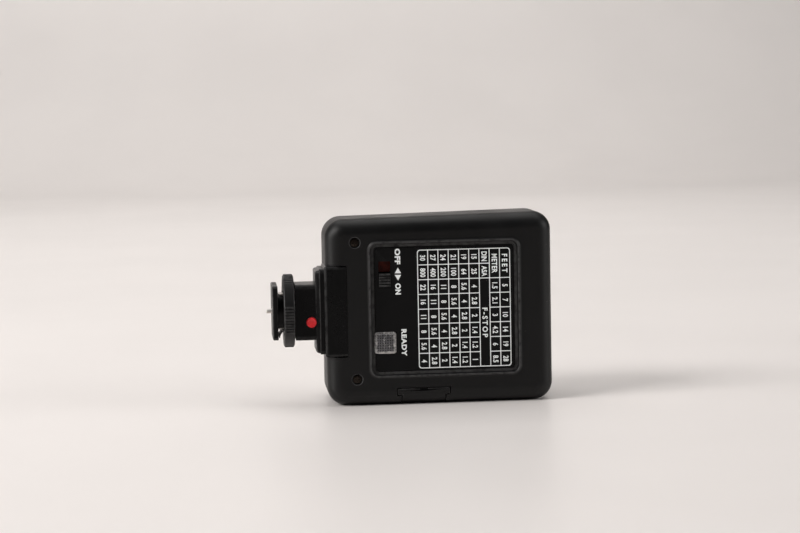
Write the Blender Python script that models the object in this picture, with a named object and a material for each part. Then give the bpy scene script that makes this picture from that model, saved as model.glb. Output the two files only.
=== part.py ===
"""Compact manual speedlight flash for two AA cells, lying on its battery-door side.

The case frame: +X runs from the camera foot to the flash head, -Y is the control panel at the back,
+Y is the window at the front, and +Z points away from the battery door. In the case frame x is
measured from the case's foot end, y from its back plane and z from the side it rests on. One empty
moves the whole flash so that the world origin is under the middle of its bounding box.
"""
import math

import bmesh
import bpy
from mathutils import Vector

MM = 0.001

# Clearances and small working lengths
GAP = 0.3 * MM
OVERCUT = 1.0 * MM
SINK = 0.6 * MM
SMALLEST_CORNER = 0.8 * MM
HALF = 0.5
FULL_TURN = 2.0 * math.pi

# Facets
CORNER_STEPS = 5
FILLET_STEPS = 5
ROUND_SIDES = 24
SMALL_SIDES = 16
WIRE_SIDES = 6
COIL_STEPS_PER_TURN = 12
DOME_STEPS = 4
SHARP_ANGLE = math.radians(32.0)

# Case
CASE_LENGTH = 78.3 * MM
CASE_HEIGHT = 64.2 * MM
CASE_TAPER = 1.4 * MM
CORNER_RADIUS = 6.5 * MM
BACK_FILLET = 5.5 * MM
FRONT_FILLET = 3.0 * MM
SIDE_WALL = 1.8 * MM
BACK_WALL = 2.4 * MM
FRONT_WALL = 2.0 * MM
PARTING_Y = 18.5 * MM
STRAIGHT_BAND = 4.5 * MM
FRONT_DRAFT = math.radians(5.0)
AXIS_RISE = 0.4 * MM
AXIS_Z = HALF * (CASE_HEIGHT + HALF * CASE_TAPER) + AXIS_RISE

# Battery chamber: two cells side by side, lying along Z
CELL_DIAMETER = 14.5 * MM
CELL_LENGTH = 50.5 * MM
CELL_COUNT = 2
CELL_PLAY = 0.4 * MM
CONTACT_ROOM = 1.6 * MM
CHAMBER_WALL = 0.8 * MM
CHAMBER_X0 = 24.55 * MM
CHAMBER_HALF = HALF * CELL_DIAMETER + CELL_PLAY
BATTERY_X = CHAMBER_X0 + CHAMBER_WALL + CHAMBER_HALF
CHAMBER_Y0 = BACK_WALL + GAP
CHAMBER_Y1 = CHAMBER_Y0 + CELL_COUNT * CELL_DIAMETER + CELL_PLAY + 2 * CHAMBER_WALL
FRONT_Y = CHAMBER_Y1 + GAP + FRONT_WALL
CELL_Y = [CHAMBER_Y0 + CHAMBER_WALL + HALF * CELL_PLAY + (cell + HALF) * CELL_DIAMETER
          for cell in range(CELL_COUNT)]

# Battery door: a plate with a wider flange that runs above two rails in the case
DOOR_INSET = 0.12 * MM
DOOR_HALF = CHAMBER_HALF - 0.2 * MM
RAIL_TOP = 3.2 * MM
RAIL_WIDTH = 2.8 * MM
FLANGE_REACH = 1.5 * MM
FLANGE_Z0 = RAIL_TOP + GAP
FLANGE_THICKNESS = 2.2 * MM
FLANGE_Z1 = FLANGE_Z0 + FLANGE_THICKNESS
DOOR_Y1 = CHAMBER_Y1 - GAP
DOOR_POCKET_DEPTH = 1.3 * MM
DOOR_POCKET_MARGIN = 1.5 * MM
DOOR_NOTCH_WIDTH = 2.9 * MM
DOOR_NOTCH_DEPTH = 0.8 * MM
BRIDGE_THICKNESS = 0.4 * MM
BRIDGE_HALF = 4.5 * MM
CONTACT_BUMP_RADIUS = 2.6 * MM
CONTACT_BUMP_HEIGHT = 0.6 * MM
CHAMBER_Z0 = FLANGE_Z1 + GAP
CHAMBER_Z1 = CHAMBER_Z0 + CELL_LENGTH + CONTACT_ROOM
PLATE_CONTACT_HALF = 4.6 * MM
PLATE_CONTACT_THICKNESS = 0.4 * MM
CELL_SPRING_RADIUS = 4.2 * MM
CELL_SPRING_TIP_RADIUS = 2.4 * MM
CELL_SPRING_WIRE = 0.7 * MM
CELL_SPRING_HEIGHT = 4.5 * MM
CELL_SPRING_TURNS = 3

# Recessed control panel and its label plate
RECESS_X0 = 15.0 * MM
RECESS_LENGTH = 51.4 * MM
RECESS_WIDTH = 46.0 * MM
RECESS_DEPTH = 0.6 * MM
RECESS_CORNER = 2.7 * MM
BEVEL_WIDTH = 1.5 * MM
LABEL_THICKNESS = 0.5 * MM
LABEL_CORNER = 1.2 * MM
PANEL_RISE = 0.3 * MM
RECESS_X = RECESS_X0 + HALF * RECESS_LENGTH
RECESS_Z = AXIS_Z + PANEL_RISE

# Slide switch
SWITCH_X = 20.2 * MM
SWITCH_RISE = 12.4 * MM
SWITCH_Z = AXIS_Z + SWITCH_RISE
KNOB_LENGTH = 4.6 * MM
KNOB_WIDTH = 4.0 * MM
KNOB_TRAVEL = 4.0 * MM
KNOB_PLAY = 0.12 * MM
KNOB_TOP = 0.1 * MM
KNOB_RIBS = 4
RIB_DEPTH = 0.3 * MM
SLOT_LENGTH = KNOB_LENGTH + KNOB_TRAVEL + 2 * KNOB_PLAY
SLOT_WIDTH = KNOB_WIDTH + 2 * KNOB_PLAY
KNOB_Z = SWITCH_Z - HALF * KNOB_TRAVEL
FLAG_THICKNESS = 0.4 * MM
BASE_THICKNESS = 0.8 * MM
BASE_MARGIN = 0.6 * MM
BASE_HALF = HALF * SLOT_LENGTH + HALF * KNOB_TRAVEL + BASE_MARGIN
BASE_WIDTH = SLOT_WIDTH + 1.6 * MM
BASE_Y0 = BACK_WALL + 2 * GAP + FLAG_THICKNESS
BASE_Y1 = BASE_Y0 + BASE_THICKNESS
PEG_WIDTH = 1.4 * MM
PEG_LENGTH = 1.6 * MM
PEG_DEPTH = 1.8 * MM

# Circuit board, its posts and what stands on it
BOARD_Y = 9.0 * MM
BOARD_THICKNESS = 1.2 * MM
BOARD_FRONT = BOARD_Y + BOARD_THICKNESS
BOARD_X0 = 8.4 * MM
BOARD_X1 = CHAMBER_X0 - 2 * GAP
BOARD_HALF_Z = 18.8 * MM
BOARD_CORNER = 1.0 * MM
POST_RADIUS = 1.2 * MM
POST_MARGIN = 1.6 * MM
SWITCH_BODY_WIDTH = 6.4 * MM
SWITCH_BODY_MARGIN = 1.6 * MM
TRANSFORMER_SIZE = 11.0 * MM
TRANSFORMER_HEIGHT = 12.0 * MM
TRANSFORMER_FLANGE = 1.5 * MM
TRANSFORMER_DROP = 11.0 * MM
TRANSISTOR_RADIUS = 2.4 * MM
TRANSISTOR_HEIGHT = 5.0 * MM
TRANSISTOR_FLAT = 1.2 * MM
TRIGGER_COIL_RADIUS = 3.1 * MM
TRIGGER_COIL_LENGTH = 10.0 * MM
TRIGGER_COIL_CHEEK = 1.0 * MM
TRIGGER_COIL_WAIST = 2.5 * MM
TRIGGER_COIL_RISE = 6.5 * MM

# Ready lamp
LAMP_X = 19.95 * MM
LAMP_DROP = 11.2 * MM
LAMP_Z = AXIS_Z - LAMP_DROP
LENS_SIZE = 7.5 * MM
LENS_CORNER = 1.0 * MM
LENS_PLAY = 0.12 * MM
LENS_EDGE_Y = 0.15 * MM
LENS_CROWN = 0.5 * MM
LENS_FLANGE = 1.0 * MM
LENS_FLANGE_THICKNESS = 0.8 * MM
NEON_RADIUS = 2.0 * MM
NEON_LENGTH = 8.5 * MM
NEON_TIP = 1.4 * MM

# Flash head
WINDOW_LENGTH = 25.0 * MM
WINDOW_HALF_Z = 22.5 * MM
WINDOW_END_MARGIN = 5.3 * MM
WINDOW_X = CASE_LENGTH - WINDOW_END_MARGIN - HALF * WINDOW_LENGTH
WINDOW_CORNER = 2.5 * MM
WINDOW_PROUD = 2.2 * MM
WINDOW_ROUND = 0.8 * MM
WINDOW_WALL = 1.5 * MM
WINDOW_LIP = 0.9 * MM
WINDOW_LIP_THICKNESS = 0.8 * MM
REFLECTOR_MOUTH = FRONT_Y - FRONT_WALL - 2 * GAP - WINDOW_LIP_THICKNESS
REFLECTOR_THICKNESS = 0.5 * MM
REFLECTOR_DEPTH = 13.5 * MM
REFLECTOR_STEPS = 6
REFLECTOR_FLOOR = 2.2 * MM
REFLECTOR_END_SLOPE = 3.0 * MM
TUBE_RADIUS = 2.0 * MM
TUBE_HALF = 24.0 * MM
TUBE_SETBACK = 9.0 * MM
TUBE_PLACE = (WINDOW_X, REFLECTOR_MOUTH - TUBE_SETBACK)
TUBE_NECK = 1.0 * MM
TUBE_NECK_LENGTH = 3.0 * MM
SLEEVE_RADIUS = 3.1 * MM
SLEEVE_LENGTH = 3.6 * MM
CAPACITOR_RADIUS = 7.0 * MM
CAPACITOR_LENGTH = 38.0 * MM
CAPACITOR_Y = BACK_WALL + 2 * GAP + CAPACITOR_RADIUS
CAPACITOR_CRIMP = 3.5 * MM
CAPACITOR_CRIMP_DEPTH = 0.5 * MM

# Screws that close the case
SCREW_X = 10.1 * MM
SCREW_SPREAD = 23.5 * MM
SCREW_HEAD_RADIUS = 1.5 * MM
SCREW_HEAD_HEIGHT = 1.1 * MM
SCREW_SHANK_RADIUS = 1.0 * MM
SCREW_LENGTH = 24.0 * MM
CROSS_WIDTH = 0.55 * MM
CROSS_LENGTH = 1.9 * MM
CROSS_DEPTH = 0.6 * MM
COUNTERBORE_DEPTH = 2.1 * MM
BOSS_RADIUS = 3.2 * MM
SCREW_PLACES = {"lower": AXIS_Z - SCREW_SPREAD, "upper": AXIS_Z + SCREW_SPREAD}

# Hook that holds the covers together at the head end
HOOK_HALF_Z = 6.0 * MM
HOOK_THICKNESS = 1.2 * MM
HOOK_REACH = 4.5 * MM
HOOK_ROOT = 2.6 * MM

# Camera foot: saddle, shoulder and neck
SHOE_Y = 9.5 * MM
SADDLE_X1 = 7.1 * MM
SADDLE_X0 = -0.6 * MM
SADDLE_HALF = 15.7 * MM
SADDLE_CORNER = 1.0 * MM
SADDLE_Y1 = PARTING_Y - GAP - HALF * GAP
SHOULDER_X0 = -2.9 * MM
SHOULDER_HALF = 14.7 * MM
SHOULDER_SET = 0.7 * MM
NECK_X1 = -3.6 * MM
NECK_X0 = -10.5 * MM
NECK_HALF = 9.4 * MM
NECK_HALF_Y = 7.6 * MM
NECK_CORNER = 1.5 * MM
NECK_WALL = 1.6 * MM
NECK_FLOOR = 2.5 * MM
NECK_BORE = 2.2 * MM
NECK_INNER_Y = SHOE_Y - NECK_HALF_Y + NECK_WALL
TONGUE_HALF = 18.0 * MM
TONGUE_Y0 = BACK_WALL + BACK_FILLET - SIDE_WALL + GAP
TONGUE_THICKNESS = 2.0 * MM

# Lock wheel and clamp washer
WHEEL_RADIUS = 12.65 * MM
WHEEL_THICKNESS = 3.7 * MM
WHEEL_LOBES = 4
RIBS_PER_LOBE = 10
RIB_PITCH = math.radians(4.6)
RIB_HEIGHT = 0.35 * MM
RIB_FLANK = 0.25
VALLEY_DEPTH = 0.9 * MM
VALLEY_STEPS = 6
WHEEL_TURN = math.radians(11.0)
WHEEL_CHAMFER = 0.4 * MM
WHEEL_X1 = NECK_X0 - GAP
WHEEL_X0 = WHEEL_X1 - WHEEL_THICKNESS
COLUMN_RADIUS = 7.2 * MM
COLUMN_FLAT = 5.2 * MM
COLUMN_STEPS = 6
STRIP_THICKNESS = 0.7 * MM
STRIP_HALF_Y = 2.8 * MM
WASHER_THICKNESS = 0.7 * MM
WASHER_RADIUS = 10.2 * MM
WASHER_SEAT = WASHER_THICKNESS + GAP

# Foot plate, centre contact and ground leaf
PLATE_GAP = 1.95 * MM
PLATE_X1 = WHEEL_X0 - PLATE_GAP
PLATE_THICKNESS = 1.9 * MM
PLATE_X0 = PLATE_X1 - PLATE_THICKNESS
PLATE_HALF_Z = 9.3 * MM
PLATE_HALF_Y = 8.8 * MM
PLATE_CORNER = 0.9 * MM
PIN_RADIUS = 0.75 * MM
PIN_PROUD = 1.95 * MM
PIN_COLLAR_RADIUS = 1.3 * MM
PIN_COLLAR_LENGTH = 0.8 * MM
PIN_LIP = 0.9 * MM
PIN_BORE = PIN_COLLAR_RADIUS + GAP
PIN_PLAY = 0.1 * MM
TERMINAL_THICKNESS = 0.6 * MM
CONTACT_WIRE = 0.3 * MM
CONTACT_TURNS = 4
LEAF_THICKNESS = 0.3 * MM
LEAF_HALF_Y = 5.0 * MM
LEAF_STEPS = 5
LEAF_RISE = 1.3 * MM
LEAF_ROOT_MARGIN = 0.4 * MM

# Red test button in the neck
BUTTON_X = -5.1 * MM
BUTTON_DROP = 3.5 * MM
BUTTON_Z = AXIS_Z - BUTTON_DROP
BUTTON_RADIUS = 1.75 * MM
BUTTON_PROUD = 0.7 * MM
BUTTON_ROUND = 0.3 * MM
BUTTON_FLANGE_RADIUS = 2.4 * MM
BUTTON_FLANGE_THICKNESS = 0.7 * MM
BUTTON_PLAY = 0.12 * MM
BUTTON_SPRING_HEIGHT = 2.2 * MM
BUTTON_WIRE = 0.25 * MM
BUTTON_TURNS = 3
TEST_CONTACT_THICKNESS = 0.4 * MM
TEST_CONTACT_HALF_X = 2.6 * MM
TEST_CONTACT_HALF_Z = 2.9 * MM

# Screws that hold the foot to the neck
FOOT_SCREW_OFFSET_Y = 4.3 * MM
FOOT_SCREW_OFFSET_Z = 3.1 * MM
FOOT_SCREW_HEAD_RADIUS = 1.25 * MM
FOOT_SCREW_HEAD_HEIGHT = 0.9 * MM
FOOT_SCREW_RADIUS = 0.7 * MM
FOOT_SCREW_LENGTH = 5.2 * MM
FOOT_SCREW_PLACES = {"rear": (-1, 1), "front": (1, -1)}

# Place of the case frame in the world
LOW_X = PLATE_X0 - PIN_PROUD
LOW_Y = SHOE_Y - WHEEL_RADIUS
HIGH_Y = FRONT_Y + WINDOW_PROUD
CASE_PLACE = Vector((-HALF * (LOW_X + CASE_LENGTH), -HALF * (LOW_Y + HIGH_Y), 0.0))

AXES = {
    "X": lambda along, first, second: Vector((along, first, second)),
    "Y": lambda along, first, second: Vector((first, along, second)),
    "Z": lambda along, first, second: Vector((first, second, along)),
}


# Outlines: lists of points in a plane

def circle(centre, radius, sides):
    """Points of a regular polygon that stands for a circle."""
    turn = FULL_TURN / sides
    return [(centre[0] + radius * math.cos(turn * side), centre[1] + radius * math.sin(turn * side))
            for side in range(sides)]


def rounded_polygon(corners, radius, steps=CORNER_STEPS):
    """A convex polygon, given anticlockwise, with an arc at each corner."""
    points = []
    for index, corner in enumerate(corners):
        here = Vector(corner)
        back = (Vector(corners[index - 1]) - here).normalized()
        ahead = (Vector(corners[(index + 1) % len(corners)]) - here).normalized()
        half_angle = HALF * math.acos(max(-1.0, min(1.0, back.dot(ahead))))
        centre = here + (back + ahead).normalized() * (radius / math.sin(half_angle))
        first = here + back * (radius / math.tan(half_angle)) - centre
        last = here + ahead * (radius / math.tan(half_angle)) - centre
        start = math.atan2(first.y, first.x)
        sweep = (math.atan2(last.y, last.x) - start) % FULL_TURN
        for step in range(steps + 1):
            angle = start + sweep * step / steps
            points.append((centre.x + radius * math.cos(angle), centre.y + radius * math.sin(angle)))
    return points


def rectangle(centre, half_first, half_second):
    """Corners of a rectangle, anticlockwise."""
    left, right = centre[0] - half_first, centre[0] + half_first
    low, high = centre[1] - half_second, centre[1] + half_second
    return [(left, low), (right, low), (right, high), (left, high)]


def rounded_rectangle(centre, half_first, half_second, radius, steps=CORNER_STEPS):
    """A rectangle with an arc at each corner."""
    return rounded_polygon(rectangle(centre, half_first, half_second), radius, steps)


def inset_corners(corners, inset):
    """A convex polygon, given anticlockwise, with each side moved inwards."""
    moved = []
    for index, corner in enumerate(corners):
        here = Vector(corner)
        back = (Vector(corners[index - 1]) - here).normalized()
        ahead = (Vector(corners[(index + 1) % len(corners)]) - here).normalized()
        half_angle = HALF * math.acos(max(-1.0, min(1.0, back.dot(ahead))))
        moved.append(tuple(here + (back + ahead).normalized() * (inset / math.sin(half_angle))))
    return moved


def flat_sided_circle(centre, radius, flat, steps):
    """A circle cut by two flats at plus and minus `flat` in the second direction."""
    limit = math.asin(flat / radius)
    points = []
    for middle in (0.0, math.pi):
        for step in range(steps + 1):
            angle = middle - limit + 2.0 * limit * step / steps
            points.append((centre[0] + radius * math.cos(angle), centre[1] + radius * math.sin(angle)))
    return points


def case_outline(inset):
    """The case's outline in X and Z, moved inwards by `inset`."""
    corners = [(0.0, 0.0), (CASE_LENGTH, 0.0), (CASE_LENGTH, CASE_HEIGHT + CASE_TAPER), (0.0, CASE_HEIGHT)]
    radius = max(CORNER_RADIUS - inset, SMALLEST_CORNER)
    return rounded_polygon(inset_corners(corners, inset), radius)


def wheel_outline(radius):
    """The lock wheel's edge in Y and Z: ribbed lobes with smooth shallow valleys between them."""
    points = []
    lobe_angle = RIBS_PER_LOBE * RIB_PITCH
    valley_angle = FULL_TURN / WHEEL_LOBES - lobe_angle
    for lobe in range(WHEEL_LOBES):
        start = math.pi + WHEEL_TURN - HALF * lobe_angle + FULL_TURN * lobe / WHEEL_LOBES
        for rib in range(RIBS_PER_LOBE):
            crest = start + rib * RIB_PITCH
            for share, drop in ((0.0, RIB_HEIGHT), (RIB_FLANK, 0.0), (1.0 - RIB_FLANK, 0.0)):
                angle = crest + share * RIB_PITCH
                points.append((radius - drop, angle))
        for step in range(VALLEY_STEPS + 1):
            share = step / VALLEY_STEPS
            angle = start + lobe_angle + share * valley_angle
            drop = RIB_HEIGHT + (VALLEY_DEPTH - RIB_HEIGHT) * math.sin(math.pi * share)
            if step < VALLEY_STEPS:
                points.append((radius - drop, angle))
    return [(SHOE_Y + reach * math.cos(angle), AXIS_Z + reach * math.sin(angle)) for reach, angle in points]


# Meshes

def loft(axis, sections, ring=False):
    """A closed body through sections, each a distance along the axis and its outline."""
    body = bmesh.new()
    rows = [[body.verts.new(AXES[axis](along, *point)) for point in outline] for along, outline in sections]
    pairs = list(zip(rows, rows[1:]))
    if ring:
        pairs.append((rows[-1], rows[0]))
    for row, following in pairs:
        for index in range(len(row)):
            after = (index + 1) % len(row)
            body.faces.new((row[index], row[after], following[after], following[index]))
    if not ring:
        body.faces.new(list(reversed(rows[0])))
        body.faces.new(rows[-1])
    bmesh.ops.recalc_face_normals(body, faces=body.faces)
    return body


def prism(axis, outline, start, end):
    """An outline pulled straight along an axis."""
    return loft(axis, [(start, outline), (end, outline)])


def cylinder(axis, centre, radius, start, end, sides=ROUND_SIDES):
    """A round bar along an axis."""
    return prism(axis, circle(centre, radius, sides), start, end)


def box(low, high):
    """A box between two corners."""
    outline = [(low[0], low[2]), (high[0], low[2]), (high[0], high[2]), (low[0], high[2])]
    return prism("Y", outline, low[1], high[1])


def turned(axis, centre, profile, sides=ROUND_SIDES):
    """A turned body from a list of (distance along the axis, radius)."""
    return loft(axis, [(along, circle(centre, radius, sides)) for along, radius in profile])


def tube_ring(axis, centre, inner, outer, start, end, sides=ROUND_SIDES):
    """A plain round sleeve."""
    profile = [(start, inner), (end, inner), (end, outer), (start, outer)]
    return loft(axis, [(along, circle(centre, radius, sides)) for along, radius in profile], ring=True)


def coil(axis, centre, start, end, radii, wire_radius, turns):
    """A wound wire whose coil radius changes evenly from its first end to its last."""
    body = bmesh.new()
    steps = turns * COIL_STEPS_PER_TURN
    rise = (end - start) / steps
    rows = []
    for step in range(steps + 1):
        angle = FULL_TURN * step / COIL_STEPS_PER_TURN
        radius = radii[0] + (radii[1] - radii[0]) * step / steps
        along = start + rise * step
        row = []
        for side in range(WIRE_SIDES):
            around = FULL_TURN * side / WIRE_SIDES
            reach = radius + wire_radius * math.cos(around)
            lift = wire_radius * math.sin(around)
            first = centre[0] + reach * math.cos(angle)
            second = centre[1] + reach * math.sin(angle)
            place = AXES[axis](along + lift, first, second)
            row.append(body.verts.new(place))
        rows.append(row)
    for row, following in zip(rows, rows[1:]):
        for index in range(WIRE_SIDES):
            after = (index + 1) % WIRE_SIDES
            body.faces.new((row[index], row[after], following[after], following[index]))
    body.faces.new(rows[0])
    body.faces.new(rows[-1])
    bmesh.ops.recalc_face_normals(body, faces=body.faces)
    return body


# Objects, materials and modifiers

def clear_scene():
    """Take everything out of the scene."""
    for item in list(bpy.data.objects):
        bpy.data.objects.remove(item)


def finish(name, colour, roughness, metallic):
    """A Principled material."""
    material = bpy.data.materials.new(name)
    material.use_nodes = True
    shader = material.node_tree.nodes["Principled BSDF"]
    shader.inputs["Base Color"].default_value = (*colour, 1.0)
    shader.inputs["Roughness"].default_value = roughness
    shader.inputs["Metallic"].default_value = metallic
    return material


def place_body(name, body, frame, origin):
    """Make an object of a mesh drawn in the case frame, with its origin at a point of that frame."""
    origin = Vector(origin)
    bmesh.ops.translate(body, verts=body.verts, vec=-origin)
    mesh = bpy.data.meshes.new(name)
    body.to_mesh(mesh)
    body.free()
    thing = bpy.data.objects.new(name, mesh)
    bpy.context.collection.objects.link(thing)
    thing.parent = frame
    thing.location = origin
    return thing


def piece(name, body, material, frame, origin=(0.0, 0.0, 0.0)):
    """A sub-part of the flash, shaded smooth apart from its sharp edges."""
    thing = place_body(name, body, frame, origin)
    thing.data.materials.append(material)
    thing.data.shade_smooth()
    thing.data.set_sharp_from_angle(angle=SHARP_ANGLE)
    return thing


def combine(thing, operation, bodies):
    """Join, cut or intersect a sub-part with bodies drawn in the case frame."""
    for index, body in enumerate(bodies):
        name = f"{thing.name}_{operation.lower()}_{index}"
        tool = place_body(name, body, thing.parent, (0.0, 0.0, 0.0))
        tool.hide_render = True
        tool.display_type = "WIRE"
        modifier = thing.modifiers.new(name, "BOOLEAN")
        modifier.operation = operation
        modifier.object = tool


# Case covers

def fillet_arc(start_y, start_inset, radius):
    """Sections round an edge, from its side at y = start_y to its face `radius` lower in y."""
    arc = []
    for step in range(1, FILLET_STEPS + 1):
        angle = HALF * math.pi * step / FILLET_STEPS
        arc.append((start_y - radius * math.sin(angle), start_inset + radius * (1.0 - math.cos(angle))))
    return arc


def back_skin(seam_y, offset, face_y):
    """Sections of the back cover's skin, from the seam to the back face."""
    radius = BACK_FILLET - offset
    return [(seam_y, offset), (face_y + radius, offset)] + fillet_arc(face_y + radius, offset, radius)


def front_skin(seam_y, offset, face_y):
    """Sections of the front cover's skin, from the seam to the front face, with its draft."""
    radius = FRONT_FILLET - HALF * offset
    band_y = PARTING_Y + STRAIGHT_BAND
    edge_y = face_y - radius
    edge_inset = offset + (edge_y - band_y) * math.tan(FRONT_DRAFT)
    mirrored = fillet_arc(-edge_y, edge_inset, radius)
    return [(seam_y, offset), (band_y, offset), (edge_y, edge_inset)] + [(-y, inset) for y, inset in mirrored]


def case_loft(skin):
    """A closed body through the case's outline at each (y, inset)."""
    return loft("Y", [(y, case_outline(inset)) for y, inset in skin])


def door_profile(half_plate, half_flange, low, step, high):
    """The door's hat-shaped profile in X and Z."""
    left, right = BATTERY_X - half_plate, BATTERY_X + half_plate
    wide_left, wide_right = BATTERY_X - half_flange, BATTERY_X + half_flange
    return [(left, low), (right, low), (right, step), (wide_right, step), (wide_right, high),
            (wide_left, high), (wide_left, step), (left, step)]


def door_channel():
    """What both covers lose for the battery door."""
    wide = DOOR_HALF + GAP
    profile = door_profile(wide, wide + FLANGE_REACH, -OVERCUT, RAIL_TOP, FLANGE_Z1 + GAP)
    return prism("Y", profile, -OVERCUT, DOOR_Y1 + GAP)


def door_rails(start, end):
    """Two rails that the door's flange runs above."""
    rails = []
    for side in (-1.0, 1.0):
        inner = BATTERY_X + side * (DOOR_HALF - GAP)
        outer = BATTERY_X + side * (DOOR_HALF + GAP + RAIL_WIDTH)
        rails.append(box((min(inner, outer), start, SIDE_WALL - SINK), (max(inner, outer), end, RAIL_TOP)))
    return rails


def rear_cover(material, frame):
    """Back half of the case, with the recessed control panel."""
    seam = PARTING_Y - HALF * GAP
    inner = back_skin(seam, SIDE_WALL, BACK_WALL)
    outer = back_skin(seam, 0.0, 0.0)
    cover = piece("rear_cover", case_loft(list(reversed(inner)) + outer), material, frame)
    bosses = [cylinder("Y", (SCREW_X, z), BOSS_RADIUS, BACK_WALL - SINK, seam) for z in SCREW_PLACES.values()]
    board_end = BOARD_HALF_Z - POST_MARGIN
    post_z = HALF * (LAMP_Z + HALF * LENS_SIZE + LENS_FLANGE + SWITCH_Z - BASE_HALF - HALF * KNOB_TRAVEL)
    post_places = [(BOARD_X0 + POST_MARGIN, AXIS_Z - board_end), (BOARD_X0 + POST_MARGIN, AXIS_Z + board_end),
                   (BOARD_X1 - POST_MARGIN, post_z)]
    posts = [cylinder("Y", place, POST_RADIUS, BACK_WALL - SINK, BOARD_Y - GAP, SMALL_SIDES)
             for place in post_places]
    combine(cover, "UNION", bosses + posts + door_rails(BACK_WALL - SINK, seam))
    combine(cover, "DIFFERENCE", [recess_cut(), slot_cut(), lens_cut(), saddle_cut(), door_channel()])
    combine(cover, "DIFFERENCE", [screw_cut(z, seam) for z in SCREW_PLACES.values()])
    return cover


def recess_cut():
    """The panel recess: a bevelled border, then a flat-bottomed seat for the label plate."""
    centre = (RECESS_X, RECESS_Z)
    half_x = HALF * RECESS_LENGTH
    half_z = HALF * RECESS_WIDTH
    seat_y = RECESS_DEPTH + LABEL_THICKNESS + GAP
    outline = rounded_rectangle(centre, half_x, half_z, RECESS_CORNER)
    seat = rounded_rectangle(centre, half_x - BEVEL_WIDTH, half_z - BEVEL_WIDTH, RECESS_CORNER - BEVEL_WIDTH)
    return loft("Y", [(-OVERCUT, outline), (0.0, outline), (RECESS_DEPTH, seat), (seat_y, seat)])


def slot_cut():
    """The slot that the switch knob slides in."""
    outline = rectangle((SWITCH_X, SWITCH_Z), HALF * SLOT_WIDTH, HALF * SLOT_LENGTH)
    return prism("Y", outline, -OVERCUT, BACK_WALL + OVERCUT)


def lens_cut():
    """The square hole that the ready lamp's lens sits in."""
    half = HALF * LENS_SIZE + LENS_PLAY
    outline = rounded_rectangle((LAMP_X, LAMP_Z), half, half, LENS_CORNER + LENS_PLAY)
    return prism("Y", outline, -OVERCUT, BACK_WALL + OVERCUT)


def saddle_cut():
    """The notch in the foot end that the saddle of the foot fills."""
    half = SADDLE_HALF + GAP
    low = (-OVERCUT - CORNER_RADIUS, -OVERCUT, AXIS_Z - half)
    high = (SADDLE_X1 + GAP, PARTING_Y + OVERCUT, AXIS_Z + half)
    return box(low, high)


def screw_cut(z, seam):
    """Counterbore and clearance hole of one case screw."""
    bore = SCREW_SHANK_RADIUS + GAP
    counterbore = SCREW_HEAD_RADIUS + GAP
    floor = COUNTERBORE_DEPTH
    profile = [(-OVERCUT, counterbore), (floor, counterbore), (floor, bore), (seam + OVERCUT, bore)]
    return turned("Y", (SCREW_X, z), profile)


def front_cover(material, frame):
    """Front half of the case, with the window opening and the screw bosses."""
    seam = PARTING_Y + HALF * GAP
    inner = front_skin(seam, SIDE_WALL, FRONT_Y - FRONT_WALL)
    outer = front_skin(seam, 0.0, FRONT_Y)
    cover = piece("front_cover", case_loft(list(reversed(inner)) + outer), material, frame)
    boss_end = FRONT_Y - FRONT_WALL + SINK
    bosses = [cylinder("Y", (SCREW_X, z), BOSS_RADIUS, seam, boss_end) for z in SCREW_PLACES.values()]
    rails = door_rails(seam, FRONT_Y - FRONT_WALL + SINK)
    combine(cover, "UNION", bosses + rails + [hook_root(seam), hook_tongue(seam)])
    opening = (HALF * WINDOW_LENGTH + GAP, WINDOW_HALF_Z + GAP, WINDOW_CORNER + GAP)
    window = rounded_rectangle((WINDOW_X, AXIS_Z), *opening)
    window_cut = prism("Y", window, FRONT_Y - FRONT_WALL - OVERCUT, FRONT_Y + OVERCUT)
    pilot_end = SCREW_LENGTH + 2 * OVERCUT
    pilots = [cylinder("Y", (SCREW_X, z), SCREW_SHANK_RADIUS + GAP, seam - OVERCUT, pilot_end, SMALL_SIDES)
              for z in SCREW_PLACES.values()]
    combine(cover, "DIFFERENCE", [window_cut, door_channel()] + pilots)
    return cover


def hook_root(seam):
    """Block that carries the head-end hook."""
    outer_x = CASE_LENGTH - HALF * SIDE_WALL
    inner_x = CASE_LENGTH - SIDE_WALL - GAP - HOOK_THICKNESS
    return box((inner_x, seam + GAP, AXIS_Z - HOOK_HALF_Z), (outer_x, seam + HOOK_ROOT, AXIS_Z + HOOK_HALF_Z))


def hook_tongue(seam):
    """Tongue that passes inside the rear cover at the head end."""
    outer_x = CASE_LENGTH - SIDE_WALL - GAP
    low = (outer_x - HOOK_THICKNESS, seam - HOOK_REACH, AXIS_Z - HOOK_HALF_Z + GAP)
    return box(low, (outer_x, seam + HALF * HOOK_ROOT, AXIS_Z + HOOK_HALF_Z - GAP))


def case_screw(name, z, material, frame):
    """One of the two screws that close the case."""
    head_y = COUNTERBORE_DEPTH - GAP
    top_y = head_y - SCREW_HEAD_HEIGHT
    profile = [(top_y, SCREW_HEAD_RADIUS), (head_y, SCREW_HEAD_RADIUS), (head_y, SCREW_SHANK_RADIUS),
               (SCREW_LENGTH, SCREW_SHANK_RADIUS), (SCREW_LENGTH + SCREW_SHANK_RADIUS, GAP)]
    screw = piece(name, turned("Y", (SCREW_X, z), profile, SMALL_SIDES), material, frame)
    for half_x, half_z in ((CROSS_LENGTH, CROSS_WIDTH), (CROSS_WIDTH, CROSS_LENGTH)):
        slot = rectangle((SCREW_X, z), HALF * half_x, HALF * half_z)
        combine(screw, "DIFFERENCE", [prism("Y", slot, top_y - OVERCUT, top_y + CROSS_DEPTH)])
    return screw


# Control panel

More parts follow.
